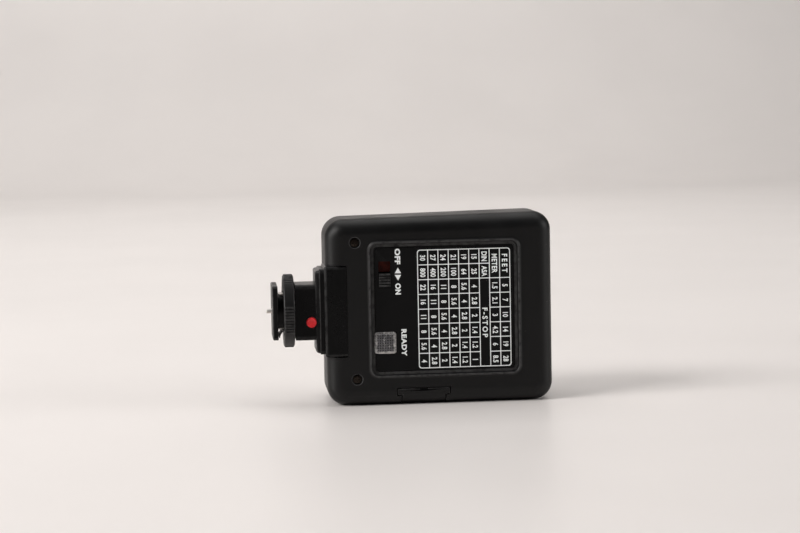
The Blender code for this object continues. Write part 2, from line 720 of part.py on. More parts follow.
def label_plate(material, frame):
    """Printed plate in the recess, open for the switch and the lamp."""
    half_x = HALF * RECESS_LENGTH - BEVEL_WIDTH - GAP
    half_z = HALF * RECESS_WIDTH - BEVEL_WIDTH - GAP
    outline = rounded_rectangle((RECESS_X, RECESS_Z), half_x, half_z, LABEL_CORNER - GAP)
    body = prism("Y", outline, RECESS_DEPTH, RECESS_DEPTH + LABEL_THICKNESS)
    plate = piece("label_plate", body, material, frame)
    combine(plate, "DIFFERENCE", [slot_cut(), lens_cut()])
    return plate


def power_switch_knob(material, frame):
    """Ribbed slide knob on its base plate, with the peg that drives the switch."""
    pitch = KNOB_LENGTH / KNOB_RIBS
    top = []
    for rib in range(KNOB_RIBS):
        start = KNOB_Z - HALF * KNOB_LENGTH + rib * pitch
        top.append((KNOB_TOP + RIB_DEPTH, start))
        top.append((KNOB_TOP, start + RIB_FLANK * pitch))
        top.append((KNOB_TOP, start + (1.0 - RIB_FLANK) * pitch))
    top.append((KNOB_TOP + RIB_DEPTH, KNOB_Z + HALF * KNOB_LENGTH))
    foot_y = BASE_Y0 + HALF * BASE_THICKNESS
    profile = [(foot_y, KNOB_Z + HALF * KNOB_LENGTH), (foot_y, KNOB_Z - HALF * KNOB_LENGTH)] + top
    origin = (SWITCH_X, BASE_Y1, KNOB_Z)
    grip = prism("X", profile, SWITCH_X - HALF * KNOB_WIDTH, SWITCH_X + HALF * KNOB_WIDTH)
    knob = piece("power_switch_knob", grip, material, frame, origin)
    base = rounded_rectangle((SWITCH_X, KNOB_Z), HALF * BASE_WIDTH, BASE_HALF, SMALLEST_CORNER)
    peg = rectangle((SWITCH_X, KNOB_Z), HALF * PEG_WIDTH, HALF * PEG_LENGTH)
    parts = [prism("Y", base, BASE_Y0, BASE_Y1), prism("Y", peg, BASE_Y1 - GAP, BASE_Y1 + PEG_DEPTH)]
    combine(knob, "UNION", parts)
    return knob


def switch_flag(material, frame):
    """Red flag on the knob's base, which shows in the slot above the knob when it is on."""
    low_z = KNOB_Z + HALF * KNOB_LENGTH + GAP
    high_z = KNOB_Z + BASE_HALF - GAP
    centre = (SWITCH_X, HALF * (low_z + high_z))
    outline = rounded_rectangle(centre, HALF * SLOT_WIDTH, HALF * (high_z - low_z), SMALLEST_CORNER)
    start = BASE_Y0 - GAP - FLAG_THICKNESS
    body = prism("Y", outline, start, start + FLAG_THICKNESS)
    return piece("switch_flag", body, material, frame, (SWITCH_X, BASE_Y1, KNOB_Z))


def power_switch_body(material, frame):
    """Slide switch on the board, with the slot for the knob's peg."""
    half_slot = HALF * (KNOB_TRAVEL + PEG_LENGTH) + GAP
    half_z = half_slot + SWITCH_BODY_MARGIN
    outline = rounded_rectangle((SWITCH_X, SWITCH_Z), HALF * SWITCH_BODY_WIDTH, half_z, SMALLEST_CORNER)
    body = piece("power_switch_body", prism("Y", outline, BASE_Y1 + GAP, BOARD_Y - GAP), material, frame)
    slot = rectangle((SWITCH_X, SWITCH_Z), HALF * PEG_WIDTH + GAP, half_slot)
    combine(body, "DIFFERENCE", [prism("Y", slot, BASE_Y1, BASE_Y1 + PEG_DEPTH + GAP)])
    return body


def ready_lamp_lens(material, frame):
    """Clear square lens with a low dome and a flange behind the panel."""
    half = HALF * LENS_SIZE
    wide = half + LENS_FLANGE
    centre = (LAMP_X, LAMP_Z)
    flange_y = BACK_WALL + GAP
    sections = [(flange_y + LENS_FLANGE_THICKNESS, rounded_rectangle(centre, wide, wide, LENS_CORNER)),
                (flange_y, rounded_rectangle(centre, wide, wide, LENS_CORNER))]
    sections.append((flange_y, rounded_rectangle(centre, half, half, LENS_CORNER)))
    for step in range(DOME_STEPS):
        share = step / DOME_STEPS
        size = half * math.cos(HALF * math.pi * share)
        crown = LENS_EDGE_Y - LENS_CROWN * math.sin(HALF * math.pi * share)
        sections.append((crown, rounded_rectangle(centre, size, size, LENS_CORNER * size / half)))
    return piece("ready_lamp_lens", loft("Y", sections), material, frame)


def ready_lamp(material, frame):
    """Neon lamp lying on the board behind the lens."""
    centre = (LAMP_X, BOARD_Y - GAP - NEON_RADIUS)
    low = LAMP_Z - HALF * NEON_LENGTH
    high = LAMP_Z + HALF * NEON_LENGTH
    profile = [(low, HALF * NEON_RADIUS), (low + GAP, NEON_RADIUS - GAP), (low + 2 * GAP, NEON_RADIUS),
               (high - NEON_TIP, NEON_RADIUS), (high - HALF * NEON_TIP, HALF * NEON_RADIUS), (high, GAP)]
    return piece("ready_lamp", turned("Z", centre, profile, SMALL_SIDES), material, frame)


# Battery compartment

def battery_door(material, frame):
    """Sliding door whose skin follows the case, with a T-shaped end in the back face."""
    profile = door_profile(DOOR_HALF, DOOR_HALF + FLANGE_REACH, -OVERCUT, FLANGE_Z0, FLANGE_Z1)
    door = piece("battery_door", prism("Y", profile, -OVERCUT, DOOR_Y1), material, frame)
    back = back_skin(PARTING_Y, 0.0, 0.0)
    front = front_skin(PARTING_Y, 0.0, FRONT_Y)[1:]
    skin = [(y, inset + DOOR_INSET) for y, inset in list(reversed(back))[:-1] + front]
    skin[0] = (DOOR_INSET, skin[0][1])
    combine(door, "INTERSECT", [case_loft(skin)])
    half = DOOR_HALF - HALF * DOOR_INSET
    pocket = box((BATTERY_X - half, CHAMBER_Y0 + CHAMBER_WALL, FLANGE_Z1 - DOOR_POCKET_DEPTH),
                 (BATTERY_X + half, DOOR_Y1 - DOOR_POCKET_MARGIN, FLANGE_Z1 + OVERCUT))
    notch = box((BATTERY_X - HALF * DOOR_NOTCH_WIDTH, -OVERCUT, FLANGE_Z1 - DOOR_NOTCH_DEPTH),
                (BATTERY_X + HALF * DOOR_NOTCH_WIDTH, HALF * BACK_WALL, FLANGE_Z1 + OVERCUT))
    combine(door, "DIFFERENCE", [pocket, notch])
    return door


def door_bridge_contact(material, frame):
    """Plate in the door that joins the two cells."""
    floor = FLANGE_Z1 - DOOR_POCKET_DEPTH + GAP
    top = floor + BRIDGE_THICKNESS
    centre = (BATTERY_X, HALF * (CELL_Y[0] + CELL_Y[-1]))
    half_y = HALF * (CELL_Y[-1] - CELL_Y[0]) + BRIDGE_HALF
    plate = prism("Z", rounded_rectangle(centre, BRIDGE_HALF, half_y, SMALLEST_CORNER), floor, top)
    contact = piece("door_bridge_contact", plate, material, frame)
    bumps = []
    for y in CELL_Y:
        bump = [(floor + HALF * BRIDGE_THICKNESS, CONTACT_BUMP_RADIUS), (top, CONTACT_BUMP_RADIUS),
                (top + CONTACT_BUMP_HEIGHT, HALF * CONTACT_BUMP_RADIUS)]
        bumps.append(turned("Z", (BATTERY_X, y), bump, SMALL_SIDES))
    combine(contact, "UNION", bumps)
    return contact


def battery_chamber(material, frame):
    """Open-ended box that holds the cells."""
    half_y = HALF * (CHAMBER_Y1 - CHAMBER_Y0)
    centre = (BATTERY_X, CHAMBER_Y0 + half_y)
    inner = rounded_rectangle(centre, CHAMBER_HALF, half_y - CHAMBER_WALL, SMALLEST_CORNER)
    outer = rounded_rectangle(centre, CHAMBER_HALF + CHAMBER_WALL, half_y, SMALLEST_CORNER + CHAMBER_WALL)
    sections = [(CHAMBER_Z1, inner), (CHAMBER_Z0, inner), (CHAMBER_Z0, outer),
                (CHAMBER_Z1 + CHAMBER_WALL, outer)]
    return piece("battery_chamber", loft("Z", sections), material, frame)


def cell_contact_plate(material, frame):
    """Flat contact for the first cell, at the chamber's closed end."""
    top = CHAMBER_Z1 - GAP
    low = top - PLATE_CONTACT_THICKNESS
    place = (BATTERY_X, CELL_Y[0])
    outline = rounded_rectangle(place, PLATE_CONTACT_HALF, PLATE_CONTACT_HALF, SMALLEST_CORNER)
    contact = piece("cell_contact_plate", prism("Z", outline, low, top), material, frame)
    bump = [(low - CONTACT_BUMP_HEIGHT, HALF * CONTACT_BUMP_RADIUS), (low, CONTACT_BUMP_RADIUS),
            (low + HALF * PLATE_CONTACT_THICKNESS, CONTACT_BUMP_RADIUS)]
    combine(contact, "UNION", [turned("Z", place, bump, SMALL_SIDES)])
    return contact


def cell_contact_spring(material, frame):
    """Tapered spring for the second cell, at the chamber's closed end."""
    high = CHAMBER_Z1 - GAP - CELL_SPRING_WIRE
    radii = (CELL_SPRING_TIP_RADIUS, CELL_SPRING_RADIUS)
    wire = coil("Z", (BATTERY_X, CELL_Y[-1]), high - CELL_SPRING_HEIGHT, high, radii, HALF * CELL_SPRING_WIRE,
                CELL_SPRING_TURNS)
    return piece("cell_contact_spring", wire, material, frame)


# Electronics

def circuit_board(material, frame):
    """Board between the foot end and the battery chamber."""
    half_x = HALF * (BOARD_X1 - BOARD_X0)
    outline = rounded_rectangle((BOARD_X0 + half_x, AXIS_Z), half_x, BOARD_HALF_Z, BOARD_CORNER)
    return piece("circuit_board", prism("Y", outline, BOARD_Y, BOARD_FRONT), material, frame)


def oscillator_transformer(material, frame):
    """Bobbin of the voltage converter: two square cheeks and a narrower winding."""
    centre = (HALF * (BOARD_X0 + BOARD_X1), AXIS_Z - TRANSFORMER_DROP)
    low = BOARD_FRONT + GAP
    high = low + TRANSFORMER_HEIGHT
    cheek = rounded_rectangle(centre, HALF * TRANSFORMER_SIZE, HALF * TRANSFORMER_SIZE, SMALLEST_CORNER)
    waist = HALF * TRANSFORMER_SIZE - TRANSFORMER_FLANGE
    winding = rounded_rectangle(centre, waist, waist, TRANSFORMER_FLANGE)
    sections = [(low, cheek), (low + TRANSFORMER_FLANGE, cheek), (low + TRANSFORMER_FLANGE, winding),
                (high - TRANSFORMER_FLANGE, winding), (high - TRANSFORMER_FLANGE, cheek), (high, cheek)]
    return piece("oscillator_transformer", loft("Y", sections), material, frame)


def oscillator_transistor(material, frame):
    """Small transistor with one flat side."""
    centre = (HALF * (BOARD_X0 + BOARD_X1), AXIS_Z + HALF * TRANSFORMER_SIZE - TRANSISTOR_RADIUS)
    body = cylinder("Y", centre, TRANSISTOR_RADIUS, BOARD_FRONT + GAP, BOARD_FRONT + GAP + TRANSISTOR_HEIGHT,
                    SMALL_SIDES)
    transistor = piece("oscillator_transistor", body, material, frame)
    flat_x = centre[0] + TRANSISTOR_FLAT
    flat = box((flat_x, BOARD_FRONT, centre[1] - BOSS_RADIUS),
               (flat_x + BOSS_RADIUS, BOARD_FRONT + TRANSISTOR_HEIGHT + OVERCUT, centre[1] + BOSS_RADIUS))
    combine(transistor, "DIFFERENCE", [flat])
    return transistor


def trigger_coil(material, frame):
    """Trigger coil: two cheeks and a winding, lying on the board."""
    centre = (HALF * (BOARD_X0 + BOARD_X1), BOARD_FRONT + GAP + TRIGGER_COIL_RADIUS)
    low = AXIS_Z + TRIGGER_COIL_RISE
    high = low + TRIGGER_COIL_LENGTH
    first = low + TRIGGER_COIL_CHEEK
    last = high - TRIGGER_COIL_CHEEK
    profile = [(low, TRIGGER_COIL_RADIUS), (first, TRIGGER_COIL_RADIUS), (first, TRIGGER_COIL_WAIST),
               (last, TRIGGER_COIL_WAIST), (last, TRIGGER_COIL_RADIUS), (high, TRIGGER_COIL_RADIUS)]
    return piece("trigger_coil", turned("Z", centre, profile, SMALL_SIDES), material, frame)


def flash_capacitor(material, frame):
    """Main capacitor behind the reflector."""
    low = AXIS_Z - HALF * CAPACITOR_LENGTH
    high = AXIS_Z + HALF * CAPACITOR_LENGTH
    groove = CAPACITOR_RADIUS - CAPACITOR_CRIMP_DEPTH
    crimp = low + CAPACITOR_CRIMP
    crimp_end = crimp + 2 * GAP
    profile = [(low, groove), (low + GAP, CAPACITOR_RADIUS), (crimp - GAP, CAPACITOR_RADIUS), (crimp, groove),
               (crimp_end, groove), (crimp_end + GAP, CAPACITOR_RADIUS), (high - GAP, CAPACITOR_RADIUS),
               (high, groove)]
    return piece("flash_capacitor", turned("Z", (WINDOW_X, CAPACITOR_Y), profile), material, frame)


# Flash head

def window_lens(material, frame):
    """Clear window that stands proud of the front, with a lip behind the opening."""
    centre = (WINDOW_X, AXIS_Z)
    half_x = HALF * WINDOW_LENGTH
    face = FRONT_Y + WINDOW_PROUD
    lip_y = FRONT_Y - FRONT_WALL - GAP

    def outline(inset):
        return rounded_rectangle(centre, half_x - inset, WINDOW_HALF_Z - inset, WINDOW_CORNER - inset)

    wide = outline(-WINDOW_LIP)
    lip_end = lip_y - WINDOW_LIP_THICKNESS
    sections = [(face - WINDOW_WALL, outline(WINDOW_WALL)), (lip_end, outline(WINDOW_WALL)),
                (lip_end, wide), (lip_y, wide), (lip_y, outline(0.0)),
                (face - WINDOW_ROUND, outline(0.0)), (face, outline(WINDOW_ROUND))]
    return piece("window_lens", loft("Y", sections), material, frame)


def reflector(material, frame):
    """Polished trough behind the window, pierced for the flash tube's sleeves."""
    centre = (WINDOW_X, AXIS_Z)
    mouth_half = HALF * WINDOW_LENGTH - WINDOW_WALL

    def section(step, grow):
        share = step / REFLECTOR_STEPS
        half_x = REFLECTOR_FLOOR + (mouth_half - REFLECTOR_FLOOR) * math.sqrt(share) + grow
        half_z = WINDOW_HALF_Z - REFLECTOR_END_SLOPE * (1.0 - share) - WINDOW_WALL + grow
        y = REFLECTOR_MOUTH - REFLECTOR_DEPTH * (1.0 - share) - (grow if step == 0 else 0.0)
        return (y, rounded_rectangle(centre, half_x, half_z, SMALLEST_CORNER + grow))

    inner = [section(step, 0.0) for step in range(REFLECTOR_STEPS + 1)]
    outer = [section(step, REFLECTOR_THICKNESS) for step in range(REFLECTOR_STEPS, -1, -1)]
    trough = piece("reflector", loft("Y", inner + outer), material, frame)
    hole = cylinder("Z", TUBE_PLACE, SLEEVE_RADIUS + GAP, AXIS_Z - TUBE_HALF, AXIS_Z + TUBE_HALF)
    combine(trough, "DIFFERENCE", [hole])
    return trough


def flash_tube(material, frame):
    """Xenon tube across the reflector."""
    low = AXIS_Z - TUBE_HALF
    high = AXIS_Z + TUBE_HALF
    neck_low = low + TUBE_NECK_LENGTH
    neck_high = high - TUBE_NECK_LENGTH
    profile = [(low, HALF * TUBE_NECK), (neck_low, TUBE_NECK), (neck_low, TUBE_RADIUS),
               (neck_high, TUBE_RADIUS), (neck_high, TUBE_NECK), (high, HALF * TUBE_NECK)]
    return piece("flash_tube", turned("Z", TUBE_PLACE, profile, SMALL_SIDES), material, frame)


def tube_sleeve(name, side, material, frame):
    """Silicone sleeve that holds one end of the tube in the reflector."""
    middle = AXIS_Z + side * (WINDOW_HALF_Z - WINDOW_WALL - HALF * REFLECTOR_END_SLOPE)
    ring = tube_ring("Z", TUBE_PLACE, TUBE_RADIUS + GAP, SLEEVE_RADIUS, middle - HALF * SLEEVE_LENGTH,
                     middle + HALF * SLEEVE_LENGTH, SMALL_SIDES)
    return piece(name, ring, material, frame)


# Camera foot

def shoe_block(material, frame):
    """Saddle, shoulder and neck of the foot, with the neck's inside open to the case."""
    saddle_y = HALF * SADDLE_Y1
    shoulder_y = HALF * (SADDLE_Y1 - 2 * SHOULDER_SET)
    bevel = HALF * SADDLE_CORNER

    def section(x, half_y, half_z, middle_y, corner):
        return (x, rounded_rectangle((middle_y, AXIS_Z), half_y, half_z, corner))

    sections = [section(NECK_X0, NECK_HALF_Y, NECK_HALF, SHOE_Y, NECK_CORNER),
                section(NECK_X1, NECK_HALF_Y, NECK_HALF, SHOE_Y, NECK_CORNER),
                section(SHOULDER_X0, shoulder_y, SHOULDER_HALF, saddle_y, NECK_CORNER),
                section(SADDLE_X0, shoulder_y, SHOULDER_HALF, saddle_y, NECK_CORNER),
                section(SADDLE_X0, saddle_y - bevel, SADDLE_HALF - bevel, saddle_y, SADDLE_CORNER),
                section(SADDLE_X0 + bevel, saddle_y, SADDLE_HALF, saddle_y, SADDLE_CORNER),
                section(SADDLE_X1, saddle_y, SADDLE_HALF, saddle_y, SADDLE_CORNER)]
    block = piece("shoe_block", loft("X", sections), material, frame)
    tongue = box((SIDE_WALL + GAP, TONGUE_Y0, AXIS_Z - TONGUE_HALF),
                 (SIDE_WALL + GAP + TONGUE_THICKNESS, SADDLE_Y1, AXIS_Z + TONGUE_HALF))
    combine(block, "UNION", [tongue])
    pocket = rounded_rectangle((SHOE_Y, AXIS_Z), NECK_HALF_Y - NECK_WALL, NECK_HALF - NECK_WALL,
                               SMALLEST_CORNER)
    cuts = [prism("X", pocket, NECK_X0 + NECK_FLOOR, SADDLE_X1 + OVERCUT),
            cylinder("X", (SHOE_Y, AXIS_Z), NECK_BORE, NECK_X0 - OVERCUT, SADDLE_X0, SMALL_SIDES),
            cylinder("Y", (BUTTON_X, BUTTON_Z), BUTTON_RADIUS + BUTTON_PLAY,
                     SHOE_Y - NECK_HALF_Y - OVERCUT, NECK_INNER_Y + OVERCUT)]
    cuts += [cylinder("X", place, FOOT_SCREW_RADIUS + GAP, NECK_X0 - OVERCUT, SADDLE_X0, SMALL_SIDES)
             for place in foot_screw_places().values()]
    combine(block, "DIFFERENCE", cuts)
    return block


def foot_screw_places():
    """Y and Z of the two screws that hold the foot."""
    return {name: (SHOE_Y + sides[0] * FOOT_SCREW_OFFSET_Y, AXIS_Z + sides[1] * FOOT_SCREW_OFFSET_Z)
            for name, sides in FOOT_SCREW_PLACES.items()}


def foot_screw(name, place, material, frame):
    """Screw that holds the foot to the neck's floor, from inside."""
    seat = NECK_X0 + NECK_FLOOR + GAP
    profile = [(seat + FOOT_SCREW_HEAD_HEIGHT, FOOT_SCREW_HEAD_RADIUS), (seat, FOOT_SCREW_HEAD_RADIUS),
               (seat, FOOT_SCREW_RADIUS), (seat - FOOT_SCREW_LENGTH, FOOT_SCREW_RADIUS)]
    return piece(name, turned("X", place, list(reversed(profile)), SMALL_SIDES), material, frame)


def shoe_foot(material, frame):
    """Foot plate that slides into the camera's shoe, with its flat-sided column."""
    centre = (SHOE_Y, AXIS_Z)
    outline = rounded_rectangle(centre, PLATE_HALF_Y, PLATE_HALF_Z, PLATE_CORNER)
    foot = piece("shoe_foot", prism("X", outline, PLATE_X0, PLATE_X1), material, frame)
    column = flat_sided_circle(centre, COLUMN_RADIUS, COLUMN_FLAT, COLUMN_STEPS)
    column_end = NECK_X0 - GAP
    combine(foot, "UNION", [prism("X", column, PLATE_X1 - SINK, column_end)])
    lip = PLATE_X0 + PIN_LIP
    cuts = [cylinder("X", centre, PIN_BORE, lip, column_end + OVERCUT, SMALL_SIDES),
            cylinder("X", centre, PIN_RADIUS + PIN_PLAY, PLATE_X0 - OVERCUT, lip + OVERCUT, SMALL_SIDES)]
    depth = NECK_X0 + NECK_FLOOR - FOOT_SCREW_LENGTH - OVERCUT
    cuts += [cylinder("X", place, FOOT_SCREW_RADIUS + GAP, depth, column_end + OVERCUT, SMALL_SIDES)
             for place in foot_screw_places().values()]
    combine(foot, "DIFFERENCE", cuts)
    return foot


def ground_strip(name, side, material, frame):
    """Bright strip along one flat of the column."""
    inner = AXIS_Z + side * (COLUMN_FLAT + GAP)
    outer = inner + side * STRIP_THICKNESS
    low = (PLATE_X1 + GAP, SHOE_Y - STRIP_HALF_Y, min(inner, outer))
    high = (NECK_X0 - 2 * GAP, SHOE_Y + STRIP_HALF_Y, max(inner, outer))
    return piece(name, box(low, high), material, frame)


def ground_leaf(material, frame):
    """Thin leaf that bows from the plate's lower edge up beside the column."""
    low = -PLATE_HALF_Z + LEAF_ROOT_MARGIN
    high = -(COLUMN_FLAT + 2 * GAP + STRIP_THICKNESS)
    outline = []
    for lift in (0.0, LEAF_THICKNESS):
        steps = range(LEAF_STEPS + 1) if lift == 0.0 else range(LEAF_STEPS, -1, -1)
        for step in steps:
            share = step / LEAF_STEPS
            x = PLATE_X1 + GAP + lift + LEAF_RISE * share ** 2
            outline.append((x, AXIS_Z + low + (high - low) * share))
    body = prism("Y", outline, SHOE_Y - LEAF_HALF_Y, SHOE_Y + LEAF_HALF_Y)
    return piece("ground_leaf", body, material, frame)


def contact_pin(material, frame):
    """Sprung centre contact of the foot."""
    collar = PLATE_X0 + PIN_LIP + GAP
    tip = PLATE_X0 - PIN_PROUD
    profile = [(tip, HALF * PIN_RADIUS), (tip + GAP, PIN_RADIUS), (collar, PIN_RADIUS),
               (collar, PIN_COLLAR_RADIUS), (collar + PIN_COLLAR_LENGTH, PIN_COLLAR_RADIUS)]
    origin = (tip, SHOE_Y, AXIS_Z)
    return piece("contact_pin", turned("X", (SHOE_Y, AXIS_Z), profile, SMALL_SIDES), material, frame, origin)


def contact_spring(material, frame):
    """Coil behind the centre contact."""
    low = PLATE_X0 + PIN_LIP + GAP + PIN_COLLAR_LENGTH + CONTACT_WIRE + HALF * GAP
    high = NECK_X0 - GAP - TERMINAL_THICKNESS - 2 * GAP - CONTACT_WIRE
    radius = PIN_COLLAR_RADIUS - CONTACT_WIRE
    wire = coil("X", (SHOE_Y, AXIS_Z), low, high, (radius, radius), HALF * CONTACT_WIRE, CONTACT_TURNS)
    return piece("contact_spring", wire, material, frame)


def contact_terminal(material, frame):
    """Stepped plug that closes the contact's bore and takes its wire."""
    low = NECK_X0 - GAP - TERMINAL_THICKNESS
    profile = [(low, PIN_COLLAR_RADIUS), (low + TERMINAL_THICKNESS, PIN_COLLAR_RADIUS),
               (low + TERMINAL_THICKNESS, HALF * PIN_RADIUS), (NECK_X0 + NECK_FLOOR, HALF * PIN_RADIUS)]
    return piece("contact_terminal", turned("X", (SHOE_Y, AXIS_Z), profile, SMALL_SIDES), material, frame)


def lock_wheel(material, frame):
    """Ribbed wheel, recessed underneath for the clamp washer."""
    narrow = wheel_outline(WHEEL_RADIUS - WHEEL_CHAMFER)
    full = wheel_outline(WHEEL_RADIUS)
    sections = [(WHEEL_X0, narrow), (WHEEL_X0 + WHEEL_CHAMFER, full), (WHEEL_X1 - WHEEL_CHAMFER, full),
                (WHEEL_X1, narrow)]
    centre = (SHOE_Y, AXIS_Z)
    wheel = piece("lock_wheel", loft("X", sections), material, frame, (WHEEL_X0, SHOE_Y, AXIS_Z))
    bore = COLUMN_RADIUS + GAP
    seat = WASHER_RADIUS + GAP
    floor = WHEEL_X0 + WASHER_SEAT
    profile = [(WHEEL_X0 - OVERCUT, seat), (floor, seat), (floor, bore), (WHEEL_X1 + OVERCUT, bore)]
    combine(wheel, "DIFFERENCE", [turned("X", centre, profile)])
    return wheel


def clamp_washer(material, frame):
    """Ring in the wheel's face, keyed to the column's flats, that presses on the camera's rails."""
    centre = (SHOE_Y, AXIS_Z)
    ring = cylinder("X", centre, WASHER_RADIUS, WHEEL_X0, WHEEL_X0 + WASHER_THICKNESS)
    washer = piece("clamp_washer", ring, material, frame, (WHEEL_X0, SHOE_Y, AXIS_Z))
    flat = COLUMN_FLAT + 2 * GAP + STRIP_THICKNESS
    hole = flat_sided_circle(centre, COLUMN_RADIUS + GAP, flat, COLUMN_STEPS)
    tool = prism("X", hole, WHEEL_X0 - OVERCUT, WHEEL_X0 + WASHER_THICKNESS + OVERCUT)
    combine(washer, "DIFFERENCE", [tool])
    return washer


def test_button(material, frame):
    """Red push button in the neck, with a flange behind the wall."""
    face = SHOE_Y - NECK_HALF_Y
    flange = NECK_INNER_Y + GAP
    tip = face - BUTTON_PROUD
    profile = [(tip, BUTTON_RADIUS - BUTTON_ROUND), (tip + BUTTON_ROUND, BUTTON_RADIUS),
               (flange, BUTTON_RADIUS), (flange, BUTTON_FLANGE_RADIUS),
               (flange + BUTTON_FLANGE_THICKNESS, BUTTON_FLANGE_RADIUS)]
    place = (BUTTON_X, BUTTON_Z)
    origin = (BUTTON_X, flange, BUTTON_Z)
    return piece("test_button", turned("Y", place, profile), material, frame, origin)


def test_button_spring(material, frame):
    """Coil behind the red button."""
    low = NECK_INNER_Y + 2 * GAP + BUTTON_FLANGE_THICKNESS
    radius = BUTTON_FLANGE_RADIUS - 2 * BUTTON_WIRE
    wire = coil("Y", (BUTTON_X, BUTTON_Z), low + BUTTON_WIRE, low + BUTTON_SPRING_HEIGHT, (radius, radius),
                HALF * BUTTON_WIRE, BUTTON_TURNS)
    return piece("test_button_spring", wire, material, frame)


def test_contact(material, frame):
    """Contact plate that the red button closes."""
    start = NECK_INNER_Y + 4 * GAP + BUTTON_FLANGE_THICKNESS + BUTTON_SPRING_HEIGHT
    centre = (BUTTON_X, BUTTON_Z)
    outline = rounded_rectangle(centre, TEST_CONTACT_HALF_X, TEST_CONTACT_HALF_Z, SMALLEST_CORNER)
    return piece("test_contact", prism("Y", outline, start, start + TEST_CONTACT_THICKNESS), material, frame)


# Assembly

def build_case(frame, black):
    """Covers and their screws."""
    screw_steel = finish("screw_steel", (0.08, 0.07, 0.065), 0.4, 1.0)
    rear_cover(black, frame)
    front_cover(black, frame)
    for name, z in SCREW_PLACES.items():
        case_screw(f"case_screw_{name}", z, screw_steel, frame)


def build_panel(frame, black, clear):
    """Label plate, switch and ready lamp."""
    label_plate(finish("label_black", (0.012, 0.012, 0.013), 0.5, 0.0), frame)
    power_switch_knob(black, frame)
    switch_flag(finish("flag_red", (0.25, 0.01, 0.01), 0.5, 0.0), frame)
    power_switch_body(finish("switch_metal", (0.5, 0.5, 0.5), 0.4, 1.0), frame)
    ready_lamp_lens(clear, frame)
    ready_lamp(finish("neon_glass", (0.8, 0.6, 0.5), 0.1, 0.0), frame)


def build_battery(frame, black, nickel):
    """Door, chamber and contacts."""
    battery_door(black, frame)
    door_bridge_contact(nickel, frame)
    battery_chamber(finish("chamber_plastic", (0.03, 0.03, 0.03), 0.6, 0.0), frame)
    cell_contact_plate(nickel, frame)
    cell_contact_spring(nickel, frame)


def build_electronics(frame):
    """Board and the larger components."""
    circuit_board(finish("board", (0.25, 0.16, 0.05), 0.6, 0.0), frame)
    oscillator_transformer(finish("winding", (0.45, 0.25, 0.05), 0.5, 0.0), frame)
    oscillator_transistor(finish("component_black", (0.02, 0.02, 0.02), 0.5, 0.0), frame)
    trigger_coil(finish("coil_yellow", (0.6, 0.5, 0.1), 0.5, 0.0), frame)
    flash_capacitor(finish("capacitor_sleeve", (0.02, 0.03, 0.1), 0.4, 0.0), frame)


def build_head(frame, clear):
    """Window, reflector and tube."""
    silicone = finish("silicone", (0.7, 0.7, 0.68), 0.6, 0.0)
    window_lens(clear, frame)
    reflector(finish("bright_aluminium", (0.85, 0.85, 0.86), 0.15, 1.0), frame)
    flash_tube(finish("tube_glass", (0.8, 0.85, 0.9), 0.05, 0.0), frame)
    tube_sleeve("tube_sleeve_lower", -1.0, silicone, frame)
    tube_sleeve("tube_sleeve_upper", 1.0, silicone, frame)


def build_foot(frame, black, nickel):
    """Neck, foot plate, contacts, button and lock wheel."""
    shoe_block(black, frame)
    shoe_foot(black, frame)
    ground_strip("ground_strip_lower", -1.0, nickel, frame)
    ground_strip("ground_strip_upper", 1.0, nickel, frame)
    ground_leaf(finish("spring_steel", (0.1, 0.1, 0.1), 0.35, 1.0), frame)
    contact_pin(nickel, frame)
    contact_spring(nickel, frame)
    contact_terminal(nickel, frame)
    for name, place in foot_screw_places().items():
        foot_screw(f"foot_screw_{name}", place, nickel, frame)
    clamp_washer(finish("washer_black", (0.03, 0.03, 0.03), 0.45, 0.0), frame)
    lock_wheel(finish("wheel_black", (0.03, 0.03, 0.03), 0.5, 0.0), frame)
    test_button(finish("button_red", (0.7, 0.02, 0.03), 0.3, 0.0), frame)
    test_button_spring(nickel, frame)
    test_contact(nickel, frame)


def build_flash():
    """Build every sub-part under one empty."""
    clear_scene()
    frame = bpy.data.objects.new("case_frame", None)
    bpy.context.collection.objects.link(frame)
    frame.location = CASE_PLACE
    black = finish("case_black", (0.02, 0.02, 0.021), 0.4, 0.0)
    clear = finish("clear_plastic", (0.8, 0.8, 0.8), 0.1, 0.0)
    nickel = finish("nickel_silver", (0.6, 0.58, 0.54), 0.3, 1.0)
    build_case(frame, black)
    build_panel(frame, black, clear)
    build_battery(frame, black, nickel)
    build_electronics(frame)
    build_head(frame, clear)
    build_foot(frame, black, nickel)


build_flash()
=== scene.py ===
"""Looks of a compact manual speedlight flash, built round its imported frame.

Every piece is drawn in millimetres in the case's own frame, with x from the foot end of the case, y from
the plane of the control panel and z from the side that it rests on. The bench then brings it to metres in
the row frame and makes it ride on its body.
"""
import logging
import math
from dataclasses import dataclass, field
from enum import Enum
from typing import Any, Callable, Sequence

import bmesh
import bpy
from mathutils import Matrix, Vector


